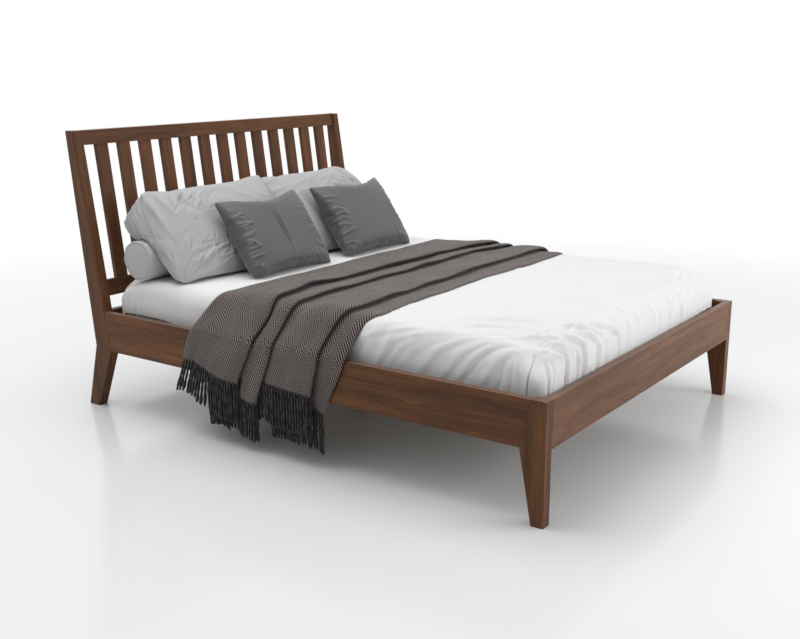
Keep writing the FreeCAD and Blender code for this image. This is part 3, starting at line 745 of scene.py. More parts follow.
def drop_collapsed(piece, past):
    """Delete the faces that lie wholly past the hem, then merge what meets there."""
    pick(piece)
    bpy.ops.object.mode_set(mode="EDIT")
    bpy.ops.mesh.select_mode(type="FACE")
    bpy.ops.mesh.select_all(action="DESELECT")
    bpy.ops.object.mode_set(mode="OBJECT")
    for face in piece.data.polygons:
        face.select = all(past[corner] for corner in face.vertices)
    bpy.ops.object.mode_set(mode="EDIT")
    bpy.ops.mesh.delete(type="FACE")
    bpy.ops.mesh.select_all(action="SELECT")
    bpy.ops.mesh.remove_doubles(threshold=0.0004)
    bpy.ops.object.mode_set(mode="OBJECT")


# Mattress and bolster

def make_mattress():
    """Mattress that fills the sheet from inside, with a flat underside."""
    cloth = settings()[1]
    width, span = SHEET_FLAT
    piece, across, along = cloth_grid("mattress_body", 70, 86)
    middle = (SHEET_HIGH.y + SHEET_LOW.y) / 2
    plan = np.column_stack([(across - 0.5) * width, middle + (along - 0.5) * span])
    points, normals, past = wrap_over_bed(plan)
    set_points(piece, points - normals * MATTRESS_GAP)
    drop_collapsed(piece, past)
    bpy.ops.object.mode_set(mode="EDIT")
    bpy.ops.mesh.select_mode(type="EDGE")
    bpy.ops.mesh.select_all(action="DESELECT")
    bpy.ops.mesh.select_non_manifold()
    down = MATTRESS_BOTTOM - SHEET_LOW.z
    bpy.ops.mesh.extrude_region_move(TRANSFORM_OT_translate={"value": (0, 0, 0.7 * down)})
    bpy.ops.mesh.extrude_region_move(TRANSFORM_OT_translate={"value": (0, 0, 0.3 * down)})
    bpy.ops.transform.resize(value=(0.985, 0.988, 1.0))
    bpy.ops.mesh.edge_face_add()
    bpy.ops.mesh.select_all(action="SELECT")
    bpy.ops.mesh.normals_make_consistent(inside=False)
    bpy.ops.object.mode_set(mode="OBJECT")
    points = points_of(piece)
    lowest = points[:, 2] < MATTRESS_BOTTOM + 0.002
    points[lowest, 2] = MATTRESS_BOTTOM
    set_points(piece, points)
    material = cotton_material("mattress_ticking", cloth.ticking, 1500.0, 0.12, 0.85, 0.1)
    finish_piece(piece, "bedding", "ticking", material, "mattress")


def make_bolster():
    cloth = settings()[1]
    piece, around, along = cloth_grid("bolster_roll", 128, 150)
    radius = BOLSTER_RADIUS
    half = BOLSTER_HIGH.x
    centre_y, centre_z = BOLSTER_CENTRE
    rim = 0.012
    cap = radius - rim
    run = 2 * (cap + rim * math.pi / 2 + half - rim)
    side = np.sign(along - 0.5)
    body = half - rim
    stops = (0, body - 0.03, body + rim * math.pi / 2 + 0.012, run / 2)
    travel = np.interp(np.abs(2 * along - 1), (0, 0.55, 0.92, 1), stops)
    angle = np.clip((travel - body) / rim, 0, math.pi / 2)
    inward = np.clip(travel - body - rim * math.pi / 2, 0, cap)
    x = side * (np.minimum(travel, body) + rim * np.sin(angle))
    r = cap + rim * np.cos(angle) - inward
    turn = around * 2 * math.pi
    on_cap = smooth_step(inward / 0.006)
    x += side * on_cap * 0.006 * (1 - (1 - inward / cap) ** 2)
    groove = np.exp(-(((travel - body - 1.25 * rim) / 0.0022) ** 2))
    groove += 0.5 * np.exp(-(((travel - body) / 0.002) ** 2))
    piping = np.exp(-(((travel - body - 0.6 * rim) / 0.004) ** 2))
    relief = 0.0020 * piping - 0.0055 * groove
    r = r + relief * np.cos(angle)
    x = x + side * relief * np.sin(angle)
    waves = 0.0012 * np.sin(9 * turn + 3 * np.sin(5 * x)) * np.exp(-(half - np.abs(x)) / 0.12) * (1 - on_cap)
    slack = 0.0012 * np.sin(2 * turn + 7 * x) + 0.0008 * np.sin(23 * x + 3 * turn)
    r = r + (waves + slack * (1 - on_cap)) * (r > 0.02)
    y = centre_y + r * np.cos(turn)
    z = np.maximum(centre_z + r * np.sin(turn), BOLSTER_LOW.z)
    set_points(piece, np.column_stack([x, y, z]))
    set_uv(piece, turn * radius, x)
    merge_doubles(piece, 0.0002)
    material = cotton_material("bolster_cotton", cloth.bolster, 2200.0, 0.06, 0.78, 0.12)
    finish_piece(piece, "bolster", "bolster_cotton", material, "bolster")


# Throw

# Long lines of the throw's folds at places from its hem in to the middle of the bed
LEFT_LINES = {
    "hem": (0.4715, 0.1705, 0.0875, -0.1825, -0.2295),
    "fall": (0.418, 0.101, 0.019, -0.219, -0.313),
    "shoulder": (0.368, 0.058, -0.0265, -0.240, -0.348),
    "edge": (0.342, 0.083, -0.036, -0.270, -0.372),
    "inner": (0.337, 0.118, -0.010, -0.256, -0.355),
    "middle": (0.343, 0.092, -0.018, -0.238, -0.335),
}
RIGHT_LINES = {
    "hem": (0.455, 0.170, 0.070, -0.185, -0.235),
    "fall": (0.405, 0.115, 0.010, -0.220, -0.320),
    "shoulder": (0.358, 0.000, -0.060, -0.245, -0.330),
    "edge": (0.342, 0.030, -0.062, -0.236, -0.347),
    "inner": (0.345, 0.092, -0.008, -0.229, -0.350),
}
# Mean height of the throw's hem, and its height at both edges of each panel
MEAN_HEM = 0.25
HEM_PANELS = (
    (0.293, 0.255),
    (0.245, 0.212),
    (0.210, 0.190),
    (0.205, 0.270),
    (0.281, 0.269),
    (0.258, 0.225),
    (0.219, 0.204),
)


def throw_path(lift):
    """Underside of the throw across the bed as lengths, places and normals, from left to right."""
    corner_x = SHEET_HIGH.x - SHEET_EDGE
    corner_z = BED_TOP - SHEET_EDGE
    radius = SHEET_EDGE + lift
    rail = np.array([RAIL_OUTER + 0.006, RAIL_HIGH.z + 0.006])
    away = math.hypot(rail[0] - corner_x, rail[1] - corner_z)
    leave = math.atan2(rail[1] - corner_z, rail[0] - corner_x) + math.acos(radius / away)
    arc = np.linspace(math.pi / 2, leave, 24)
    shoulder = np.column_stack([corner_x + radius * np.cos(arc), corner_z + radius * np.sin(arc)])
    right = np.vstack([[[0, BED_TOP + lift]], shoulder, [rail], [[rail[0], 0.1]]])
    whole = np.vstack([right[::-1] * [-1, 1], right[1:]])
    lengths = np.concatenate([[0], np.cumsum(np.linalg.norm(np.diff(whole, axis=0), axis=1))])
    lengths -= lengths[-1] / 2
    fine = np.arange(lengths[0], lengths[-1], 0.002)
    places = np.column_stack([np.interp(fine, lengths, whole[:, n]) for n in (0, 1)])
    window = np.hanning(13)
    window /= window.sum()
    for n in (0, 1):
        places[8:-8, n] = np.convolve(np.pad(places[:, n], 6, mode="edge"), window, mode="valid")[8:-8]
    run = np.gradient(places, axis=0)
    run /= np.linalg.norm(run, axis=1)[:, None]
    normals = np.column_stack([-run[:, 1], run[:, 0]])
    return fine, places, normals


def path_length_at(fine, places, wanted_x, wanted_z):
    """Length along the path, on the right half, of its point nearest to a place."""
    right = fine > 0
    gap = np.hypot(places[right, 0] - wanted_x, places[right, 1] - wanted_z)
    return fine[right][np.argmin(gap)]


def spline_basis(controls, samples):
    """Weights of a clamped cubic B-spline, one row per sample."""
    degree = 3
    knots = np.concatenate([np.zeros(degree), np.linspace(0, 1, controls - degree + 1), np.ones(degree)])
    t = np.linspace(0, 1 - 1e-9, samples)
    basis = ((t[:, None] >= knots[:-1]) & (t[:, None] < knots[1:])).astype(float)
    for order in range(1, degree + 1):
        count = len(knots) - order - 1
        raised = np.zeros((samples, count))
        for n in range(count):
            left = knots[n + order] - knots[n]
            right = knots[n + order + 1] - knots[n + 1]
            if left > 0:
                raised[:, n] += (t - knots[n]) / left * basis[:, n]
            if right > 0:
                raised[:, n] += (knots[n + order + 1] - t) / right * basis[:, n + 1]
        basis = raised
    return basis


def throw_profile(lines, overlap, height, rows):
    """Control points of the pleated cross-section for every row: y, height, hem height and the lip's share of
    painted shade.

    Each panel rises to its rolled lip, turns back under itself and comes out below as the next one."""
    ground = np.full(rows, 0.0012)
    y, h, hem, lip = [], [], [], []

    def put(place, level, hem_height, rolled=0.0):
        y.append(place)
        h.append(level)
        hem.append(hem_height)
        lip.append(rolled)

    head, foot = lines[0], lines[4]
    put(head, ground, HEM_PANELS[0][0])
    put(head - 0.008, ground + 0.002, HEM_PANELS[0][0])
    put(head - 0.06, ground, HEM_PANELS[0][0])
    for number in (1, 2, 3):
        line = lines[number]
        before = lines[number - 1]
        tall = height[number - 1]
        lap = overlap[number - 1]
        high, low = HEM_PANELS[2 * number - 2]
        put(before + 0.45 * (line + lap - before), ground + 0.1 * tall, high)
        put(line + lap + 0.02, ground + 0.55 * tall, 0.5 * (high + low))
        put(line + 0.5 * lap, ground + 0.9 * tall, low)
        put(line + 0.016, ground + 1.06 * tall, low)
        # The last value marks the lip, where painted shade darkens the throw
        put(line - 0.003, ground + 1.0 * tall, low, 0.75)
        put(line - 0.006, ground + 0.66 * tall, low, 1.0)
        put(line + 0.010, ground + 0.50 * tall, low, 1.0)
        start, end = HEM_PANELS[2 * number - 1]
        put(line + 0.5 * lap, ground + 0.46 * tall, 0.5 * (start + end))
        put(line + lap, ground + 0.40 * tall, end)
        put(line + lap + 0.010, ground + 0.24 * tall, end)
        put(line + lap - 0.004, ground + 0.06 * tall, end)
        put(line + 0.5 * lap, ground, HEM_PANELS[2 * number][0])
        put(line - 0.004, ground, HEM_PANELS[2 * number][0])
    last = lines[3]
    high, low = HEM_PANELS[6]
    put(last + 0.4 * (foot - last), ground + 0.003, high)
    put(last + 0.75 * (foot - last), ground + 0.004, low)
    put(foot + 0.01, ground + 0.003, low)
    put(foot, ground, low)
    return np.array(y), np.array(h), np.array(hem), np.array(lip)


def throw_lines(lengths, marks):
    """The five long lines of the throw, head edge to foot edge, at each length across the bed."""
    stations = []
    for name in RIGHT_LINES:
        stations.append((-marks[name], LEFT_LINES[name]))
        stations.append((marks[name], RIGHT_LINES[name]))
    stations.append((0.0, LEFT_LINES["middle"]))
    stations.sort()
    at = np.array([station[0] for station in stations])
    fine = np.arange(at[0] - 0.1, at[-1] + 0.1, 0.004)
    window = np.hanning(35)
    window /= window.sum()
    lines = []
    for number in range(5):
        line = np.interp(fine, at, [station[1][number] for station in stations])
        line = np.convolve(np.pad(line, 17, mode="edge"), window, mode="valid")
        line = np.interp(lengths, fine, line)
        wander = 0.0035 * np.sin(11 * lengths + 1.7 * number) + 0.002 * np.sin(29 * lengths + 2.9 * number)
        lines.append(line + wander)
    return lines


def make_throw():
    cloth = settings()[1]
    columns, rows = 172, 210
    fine, places, normals = throw_path(0.0022)
    rail_z = RAIL_HIGH.z
    marks = {
        "hem": path_length_at(fine, places, -RAIL_LOW.x, 0.25),
        "fall": path_length_at(fine, places, -RAIL_LOW.x, rail_z - 0.01),
        "shoulder": path_length_at(fine, places, SHEET_HIGH.x, BED_TOP - 0.03),
        "edge": path_length_at(fine, places, SHEET_HIGH.x - SHEET_EDGE, BED_TOP),
        "inner": 0.5,
    }
    share = np.linspace(-1, 1, rows + 1)
    lengths = marks["hem"] * (0.72 * share + 0.28 * np.sin(share * math.pi / 2))
    lines = throw_lines(lengths, marks)
    hang = smooth_step((np.abs(lengths) - marks["shoulder"]) / (marks["hem"] - marks["shoulder"]))
    wave = 1 + 0.14 * np.sin(9 * lengths + 0.6) + 0.08 * np.sin(23 * lengths)
    height = [cloth.fold_height * part * wave * (1 + 0.35 * hang) for part in (1.0, 0.85, 0.95)]
    overlap = [cloth.fold_overlap * part * (1 + 0.5 * hang) for part in (1.16, 0.62, 1.42)]
    y, h, hem, lip = throw_profile(lines, overlap, height, rows + 1)
    basis = spline_basis(len(y), columns + 1)
    y, h, hem, lip = basis @ y, basis @ h, basis @ hem, basis @ lip
    h += 0.0016 * np.sin(31 * y + 17 * lengths) * smooth_step(h / 0.004)
    slide = smooth_step((np.abs(lengths) - marks["edge"]) / (marks["hem"] - marks["edge"]))
    shift = np.sign(lengths) * slide * (MEAN_HEM - hem[:, None])
    along = lengths + shift
    x = np.interp(along, fine, places[:, 0]) + np.interp(along, fine, normals[:, 0]) * h
    z = np.interp(along, fine, places[:, 1]) + np.interp(along, fine, normals[:, 1]) * h
    piece, across, rise = cloth_grid("throw_cloth", columns, rows)
    column = np.rint(across * columns).astype(int)
    row = np.rint(rise * rows).astype(int)
    grid = np.stack([x, y, z], axis=2)
    set_points(piece, grid[column, row])
    steps = np.linalg.norm(np.diff(grid, axis=0), axis=2)
    unfolded = np.vstack([np.zeros(rows + 1), np.cumsum(steps, axis=0)])
    set_uv(piece, unfolded.mean(axis=1)[column], lengths[row])
    # UV map that carries each lip's share of painted shade
    piece.data.uv_layers.new(name="LipShade")
    set_uv(piece, lip[column], lengths[row], "LipShade")
    turn_up(piece)
    thicken(piece, 0.0024)
    material = herringbone_material(
        "throw_wool", cloth.throw_light, cloth.throw_dark, cloth.herringbone, cloth.twill
    )
    finish_piece(piece, "throw", "throw_wool", material, "throw_blanket")
    fringe = make_fringe((grid[:, 0], grid[:, 12]), (grid[:, -1], grid[:, -13]))


def turn_up(piece):
    """Make the faces of an open cloth point up and outwards."""
    top = max(piece.data.polygons, key=lambda face: face.center.z)
    if top.normal.z < 0:
        edit_all(piece, (bpy.ops.mesh.flip_normals, {}))


def thicken(piece, thickness):
    modify(piece, "SOLIDIFY", thickness=thickness, offset=0)


def make_fringe(*hems):
    """Twisted tassels that hang from both hems of the throw."""
    cloth = settings()[1]
    draw = np.random.default_rng(5)
    sides, rings = 4, 13
    points, faces, pairs = [], [], []
    for hem, above in hems:
        fall = hem - above
        fall /= np.linalg.norm(fall, axis=1)[:, None]
        steps = np.linalg.norm(np.diff(hem, axis=0), axis=1)
        travel = np.concatenate([[0], np.cumsum(steps)])
        for place in np.arange(cloth.tassel_pitch / 2, travel[-1], cloth.tassel_pitch):
            place += draw.uniform(-0.0015, 0.0015)
            root = np.array([np.interp(place, travel, hem[:, n]) for n in range(3)])
            tall = cloth.fringe_length * draw.uniform(0.95, 1.04) * (0.92 + 0.16 * min(1.0, place / 0.2))
            splay = 1.5 - 1.55 * min(1.0, place / 0.16)
            lean = np.interp(place, travel, fall[:, 1]) * splay
            sway = np.array([draw.normal(0, 0.0015), lean * tall + draw.normal(0, 0.0025)])
            twist = draw.uniform(0, math.pi)
            base = len(points)
            for ring in range(rings):
                down = ring / (rings - 1)
                taper = 0.0070 if 0 < ring < rings - 1 else 0.0050
                turn = twist + down * 5.2
                drop = 0.006 - (tall + 0.006) * down
                middle = root + np.array([sway[0] * down, sway[1] * down ** 1.1, drop])
                clear = RAIL_OUTER + taper + 0.001
                middle[0] = math.copysign(max(abs(middle[0]), clear), middle[0])
                for side in range(sides):
                    angle = turn + side * 2 * math.pi / sides
                    wide = taper * (1.0 if side % 2 else 0.76)
                    points.append(middle + np.array([wide * math.cos(angle), wide * math.sin(angle), 0]))
                    pairs.append((side / sides, tall * down))
            for ring in range(rings - 1):
                for side in range(sides):
                    here = base + ring * sides + side
                    beside = base + ring * sides + (side + 1) % sides
                    faces.append((here, here + sides, beside + sides, beside))
            faces.append([base + side for side in range(sides)])
            faces.append([base + (rings - 1) * sides + side for side in reversed(range(sides))])
    mesh = bpy.data.meshes.new("throw_tassels")
    mesh.from_pydata([tuple(point) for point in points], [], [tuple(face) for face in faces])
    mesh.uv_layers.new(name="UVMap")
    piece = bpy.data.objects.new("throw_tassels", mesh)
    bpy.context.scene.collection.objects.link(piece)
    pairs = np.array(pairs)
    set_uv(piece, pairs[:, 0], pairs[:, 1])
    pick(piece)
    bpy.ops.object.mode_set(mode="EDIT")
    bpy.ops.mesh.select_all(action="SELECT")
    bpy.ops.mesh.normals_make_consistent(inside=False)
    bpy.ops.object.mode_set(mode="OBJECT")
    finish_piece(piece, "throw", "fringe_wool", fringe_material("fringe_wool", cloth.fringe), "throw_fringe")
    return piece


# Pillows and cushions

def blow_up(piece, pressure, slack, frames, bending):
    """Fill a sewn cover by cloth simulation and keep the result in its mesh."""
    pick(piece)
    bpy.ops.object.modifier_add(type="CLOTH")
    cover = piece.modifiers[-1]
    cover.settings.quality = 5
    cover.settings.mass = 0.25
    cover.settings.air_damping = 2.0
    cover.settings.tension_stiffness = 30
    cover.settings.compression_stiffness = 30
    cover.settings.shear_stiffness = 10
    cover.settings.bending_stiffness = bending
    cover.settings.use_pressure = True
    cover.settings.uniform_pressure_force = pressure
    cover.settings.shrink_min = -slack
    cover.settings.effector_weights.gravity = 0
    cover.collision_settings.use_collision = False
    cover.point_cache.frame_start = 1
    cover.point_cache.frame_end = frames
    for step in range(1, frames + 1):
        bpy.context.scene.frame_set(step)
    bpy.ops.object.modifier_apply(modifier=cover.name)
    bpy.context.scene.frame_set(1)


def subdivide(piece):
    modify(piece, "SUBSURF", levels=1, render_levels=1)


def seated(points, middle_x, seat_y):
    """Turn a form's width, chord and depth into its place on the bed, resting on the sheet."""
    x = middle_x + points[:, 0]
    y = seat_y + CHORD_UP.y * points[:, 1] + CHORD_OUT.y * points[:, 2]
    z = REST_TOP + CHORD_UP.z * points[:, 1] + CHORD_OUT.z * points[:, 2]
    return np.column_stack([x, y, np.maximum(z, REST_TOP + 0.0004)])


def round_low_corner(points, corner_x, radius):
    """Round a form's lower corner off, in its width and chord."""
    inward = -np.sign(corner_x)
    across = 1 - (points[:, 0] - corner_x) * inward / radius
    up = 1 - points[:, 1] / radius
    square = np.maximum(np.maximum(across, up), 1e-9)
    inside = (across > 0) & (up > 0)
    shrink = np.where(inside, square / np.maximum(np.hypot(across, up), 1e-9), 1.0)
    points[:, 0] = np.where(inside, corner_x + inward * radius * (1 - across * shrink), points[:, 0])
    points[:, 1] = np.where(inside, radius * (1 - up * shrink), points[:, 1])


def sewn_panels(name, width, tall, cell, swell):
    """Two flat panels sewn together round their edge, a little apart in the middle."""
    piece, across, along = cloth_grid(name, round(width / cell), round(tall / cell))
    bulge = swell * (np.sin(np.pi * across) * np.sin(np.pi * along)) ** 0.6
    set_points(piece, np.column_stack([(across - 0.5) * width, (along - 0.5) * tall, bulge]))
    pick(piece)
    bpy.ops.object.duplicate()
    back = bpy.context.object
    mirrored = points_of(back)
    mirrored[:, 2] *= -1
    set_points(back, mirrored)
    piece.select_set(True)
    bpy.context.view_layer.objects.active = piece
    bpy.ops.object.join()
    merge_doubles(piece, 0.0002)
    return piece


def make_cushion(name, node, body, creases, dip, shift, seed):
    """Satin cushion blown up from two sewn panels and leaned on its pillow."""
    cloth = settings()[1]
    low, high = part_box(node)
    width = high.x - low.x
    piece = sewn_panels(name, width * 1.06, CUSHION_CHORD * 1.06, 0.0062, 0.012)
    blow_up(piece, 5.0, 0.0, 15, 0.2)
    subdivide(piece)
    points = points_of(piece)
    points[:, 0] *= width / np.ptp(points[:, 0])
    points[:, 1] = (points[:, 1] - points[:, 1].min()) * (CUSHION_CHORD + CUSHION_RISE) / np.ptp(points[:, 1])
    front = points[:, 2] > 0
    points[:, 2] /= np.where(front, points[:, 2].max(), -points[:, 2].min())
    points[:, 2] = np.where(front, CUSHION_FRONT * np.abs(points[:, 2]) ** 0.62, CUSHION_BACK * points[:, 2])
    draw = np.random.default_rng(seed)
    plan = points[:, :2]
    relief = np.zeros(len(points))
    for crease in range(creases):
        top = (-0.012 + 0.021 * crease, CUSHION_CHORD * (0.85 - 0.03 * crease))
        turn = (-0.002 + 0.016 * crease, CUSHION_CHORD * 0.52)
        low_turn = (0.003 + 0.010 * crease, CUSHION_CHORD * 0.30)
        end = (-0.008 + 0.007 * crease, CUSHION_CHORD * (0.07 + 0.09 * crease))
        path = np.array([top, turn, low_turn, end])
        relief -= curved_fold(plan, path, 0.0036, 0.0105, 1.3)
        relief += curved_fold(plan, path + [0.0075, 0], 0.0042, 0.0040)
    relief += cushion_puckers(plan, width, draw)
    points[:, 2] += np.where(front, relief, 0) * smooth_step(points[:, 2] / 0.012)
    sunk = np.exp(-(((points[:, 0] - dip[0]) / 0.14) ** 2)) + 0.4 * np.clip(-points[:, 0] / 0.24, 0, 1)
    points[:, 1] -= dip[1] * sunk * smooth_step((points[:, 1] / CUSHION_CHORD - 0.45) / 0.55)
    round_low_corner(points, -width / 2, 0.075)
    points[:, 0] -= shift + CUSHION_SLANT * (1 - points[:, 1] / CUSHION_CHORD)
    set_points(piece, seated(points, (low.x + high.x) / 2, CUSHION_SEAT))
    material = bpy.data.materials.get("cushion_cover_satin")
    if not material:
        material = satin_material("cushion_cover_satin", cloth.cushion)
    finish_piece(piece, body, "cushion_satin", material, node)


def cushion_puckers(plan, width, draw):
    """Gathers that run in from a cushion's seams, strongest at its left side and along its foot."""
    relief = np.zeros(len(plan))
    for side, strong in ((-1, 1.0), (1, 0.45)):
        place = 0.02
        while place < CUSHION_CHORD - 0.05:
            reach = draw.uniform(0.05, 0.095)
            begin = (side * width * 0.48, place + draw.uniform(-0.006, 0.006))
            turn = (side * (width * 0.48 - 0.5 * reach), place + draw.uniform(-0.012, 0.006))
            end = (side * (width * 0.48 - reach), place + draw.uniform(-0.028, 0.02))
            tall = strong * draw.uniform(0.002, 0.009)
            relief += curved_fold(plan, (begin, turn, end), draw.uniform(0.0045, 0.008), tall)
            place += draw.uniform(0.013, 0.032)
    for level, way, strong in ((0.012, 1, 0.5), (CUSHION_CHORD - 0.012, -1, 0.3)):
        place = -width * 0.45
        while place < width * 0.45:
            begin = (place, level)
            end = (place + draw.uniform(-0.015, 0.015), level + way * draw.uniform(0.04, 0.11))
            wide, tall = draw.uniform(0.004, 0.007), draw.uniform(0.0015, 0.004)
            relief += fold_height(plan, begin, end, wide, strong * tall)
            place += draw.uniform(0.018, 0.06)
    return relief


def pillow_section(count):
    """Outline of a pillow's cross-section as chord and depth, round from the lower seam."""
    chord = PILLOW_CHORD
    corners = np.array([
        (0.0, 0.0),
        (0.07 * chord, 0.022),
        (0.25 * chord, 0.046),
        (0.5 * chord, PILLOW_FRONT),
        (0.76 * chord, 0.047),
        (0.94 * chord, 0.021),
        (chord, 0.0),
        (0.955 * chord, -0.035),
        (0.927 * chord, -0.080),
        (0.888 * chord, -0.130),
        (0.821 * chord, -0.132),
        (0.688 * chord, -0.110),
        (0.5 * chord, -0.070),
        (0.28 * chord, -0.040),
        (0.08 * chord, -0.013),
    ])
    closed = np.vstack([corners[-2:], corners, corners[:3]])
    wanted = np.linspace(0, len(corners), count * 8, endpoint=False)
    base = np.floor(wanted).astype(int)
    t = (wanted - base)[:, None]
    p0, p1, p2, p3 = (closed[base + step] for step in (1, 2, 3, 4))
    curve = 2 * p1 + (p2 - p0) * t + (2 * p0 - 5 * p1 + 4 * p2 - p3) * t ** 2
    curve = 0.5 * (curve + (3 * p1 - p0 - 3 * p2 + p3) * t ** 3)
    steps = np.linalg.norm(np.diff(np.vstack([curve, curve[:1]]), axis=0), axis=1)
    travel = np.concatenate([[0], np.cumsum(steps)])
    even = np.linspace(0, travel[-1], count, endpoint=False)
    curve = np.vstack([curve, curve[:1]])
    return np.column_stack([np.interp(even, travel, curve[:, n]) for n in (0, 1)])


def pillow_form(name, width, left_full, right_full):
    """Pillow in its own plan, each end closed at the share of full thickness that it has there."""
    around, columns, cap = 126, 92, 8
    section = pillow_section(around)
    centre = np.array([0.56 * PILLOW_CHORD, -0.018])
    piece, share, turn = cloth_grid(name, columns + 2 * cap, around)
    column = np.rint(share * (columns + 2 * cap)).astype(int)
    row = np.rint(turn * around).astype(int) % around
    travel = np.clip((column - cap) / columns, 0, 1)
    x = (travel - 0.5) * width
    inset = width / 2 - np.abs(x)
    end = np.clip(1 - inset / 0.03, 0, 1)
    rounding = 1 - np.sqrt(1 - end ** 2)
    into_cap = np.clip(np.maximum(cap - column, column - cap - columns) / cap, 0, 1)
    closing = (1 - into_cap) ** 0.8
    chord = centre[0] + (section[row, 0] - centre[0]) * (1 - 0.025 * rounding) * closing
    depth = centre[1] + (section[row, 1] - centre[1]) * (1 - 0.10 * rounding) * closing
    full = np.where(x < 0, left_full, right_full)
    swell = full + (1 - full) * np.sqrt(1 - (1 - np.clip(inset / 0.11, 0, 1)) ** 2)
    flat = 0.45 + 0.55 * smooth_step(inset / 0.09)
    depth = depth * swell * np.where(depth > 0, flat, 1.0)
    upper = smooth_step((chord / PILLOW_CHORD - 0.5) / 0.4)
    chord *= 1 + upper * (0.020 - 0.045 * (full > 0.5) * (2 * travel - 1) ** 2)
    chord -= 0.045 * upper * (np.abs(full - 0.7) < 0.1) * np.clip(1 - inset / 0.11, 0, 1) ** 2.2
    dome = 0.010 * (1 - (1 - into_cap) ** 2) * (full > 0.5)
    set_points(piece, np.column_stack([x + np.sign(x) * dome, chord, depth]))
    merge_doubles(piece, 0.0003)
    return piece


def pillow_folds(points, width, fat_side, seed):
    """Wrinkles of a pillow's cover: soft folds round its full end and crinkles towards its lower corner."""
    draw = np.random.default_rng(seed)
    plan = points[:, :2] * [fat_side, 1.0]
    corner = np.array([width / 2, 0.0])
    front = smooth_step((points[:, 2] + 0.004) / 0.012)
    relief = np.zeros(len(points))

    def add(begin, end, wide, tall):
        wide = draw.uniform(*wide)
        tall = draw.uniform(*tall)
        return front * fold_height(plan, begin, end, wide, tall)

    relief += add((width / 2 - 0.035, 0.44), (width / 2 - 0.075, 0.3), (0.010, 0.012), (0.006, 0.007))
    relief += add((width / 2 - 0.075, 0.32), (width / 2 - 0.085, 0.12), (0.008, 0.010), (0.005, 0.006))
    for step in range(12):
        ray = polar(1.0, 94 + 7 * step + draw.uniform(-3, 3))
        begin = corner + ray * draw.uniform(0.03, 0.06)
        end = corner + ray * draw.uniform(0.13, 0.26)
        relief += add(begin, end, (0.005, 0.0085), (0.005, 0.009))
    for step in range(84):
        begin = np.array([width / 2 - draw.triangular(0.05, 0.11, 0.36), draw.uniform(0.05, 0.38)])
        angle = draw.uniform(85, 175)
        end = begin + polar(draw.uniform(0.03, 0.1), angle)
        sign = 1 if step % 3 else -1
        relief += sign * add(begin, end, (0.0045, 0.008), (0.003, 0.0065))
    for _ in range(10):
        begin = np.array([draw.uniform(-0.3, 0.15), draw.uniform(0.28, 0.42)])
        end = begin + [draw.uniform(-0.2, -0.1), draw.uniform(-0.09, 0.02)]
        relief += add(begin, end, (0.008, 0.016), (0.002, 0.004))
    for _ in range(12):
        begin = np.array([draw.uniform(-width / 2, 0.2), draw.uniform(0.02, 0.05)])
        end = begin + [draw.uniform(-0.05, 0.02), draw.uniform(0.06, 0.16)]
        relief += add(begin, end, (0.006, 0.012), (0.002, 0.0045))
    side = points[:, [2, 1]]
    at_end = smooth_step((plan[:, 0] - width / 2 + 0.05) / 0.04)
    for step in range(8):
        place = -0.118 + 0.0195 * step + draw.uniform(-0.003, 0.003)
        begin = (place, draw.uniform(0.36, 0.44))
        end = (place + draw.uniform(0.0, 0.03), draw.uniform(0.1, 0.22))
        relief += at_end * fold_height(side, begin, end, 0.0055, draw.uniform(0.007, 0.013))
    for _ in range(24):
        begin = np.array([width / 2 - draw.triangular(0.07, 0.13, 0.3), draw.uniform(0.03, 0.2)])
        angle = draw.uniform(95, 160)
        end = begin + polar(draw.uniform(0.03, 0.08), angle)
        relief += add(begin, end, (0.004, 0.006), (0.004, 0.007))
    return relief


def vertex_normals(piece):
    flat = np.empty(len(piece.data.vertices) * 3)
    piece.data.vertices.foreach_get("normal", flat)
    return flat.reshape(-1, 3)


def clear_of_bolster(points):
    """Push what lies inside the bolster out to its surface."""
    radius = BOLSTER_RADIUS + 0.002
    offset = points[:, 1:] - BOLSTER_CENTRE
    away = np.linalg.norm(offset, axis=1)
    push = np.where(away < radius, radius / np.maximum(away, 1e-6), 1.0)
    points[:, 1:] = BOLSTER_CENTRE + offset * push[:, None]
    return points


def make_pillow(name, node, fat_side, ends, reach, seed):
    """Pillow filled by cloth simulation, wrinkled and leaned on the bolster."""
    cloth = settings()[1]
    low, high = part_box(node)
    low.x -= reach
    width = high.x - low.x - 0.012
    piece = pillow_form(name, width, *ends)
    before = points_of(piece)
    blow_up(piece, 3.0, 0.03, 20, 0.4)
    move = points_of(piece) - before
    far = np.linalg.norm(move, axis=1)
    limit = np.minimum(1.0, 0.012 / np.maximum(far, 1e-9))
    set_points(piece, before + move * limit[:, None])
    subdivide(piece)
    points = points_of(piece)
    points[:, 2] *= np.where(points[:, 2] > 0, 0.88, 1.0)
    points += vertex_normals(piece) * pillow_folds(points, width, fat_side, seed)[:, None]
    points[:, 2] = np.minimum(points[:, 2], PILLOW_FRONT)
    outer = points[:, 0] * fat_side
    points[:, 0] = fat_side * np.clip(outer, -width / 2 - 0.005, width / 2 + 0.02)
    lower = np.clip(1 - points[:, 1] / PILLOW_CHORD, 0, 1)
    at_end = smooth_step(outer / (width / 2))
    points[:, 0] -= fat_side * 0.03 * at_end * (1 - lower) * smooth_step((points[:, 2] + 0.05) / 0.05)
    round_low_corner(points, fat_side * width / 2, 0.06)
    points[:, 0] -= 0.028 * at_end * lower * (fat_side < 0)
    placed = seated(points, (low.x + high.x) / 2, PILLOW_SEAT)
    placed[:, 1] += 0.028 * at_end * lower
    placed = clear_of_bolster(placed)
    set_points(piece, placed)
    material = bpy.data.materials.get("pillow_case_cotton")
    if not material:
        material = cotton_material("pillow_case_cotton", cloth.pillow, 2200.0, 0.06, 0.75, 0.04)
    finish_piece(piece, node, "pillow_cotton", material, node)


# Steps

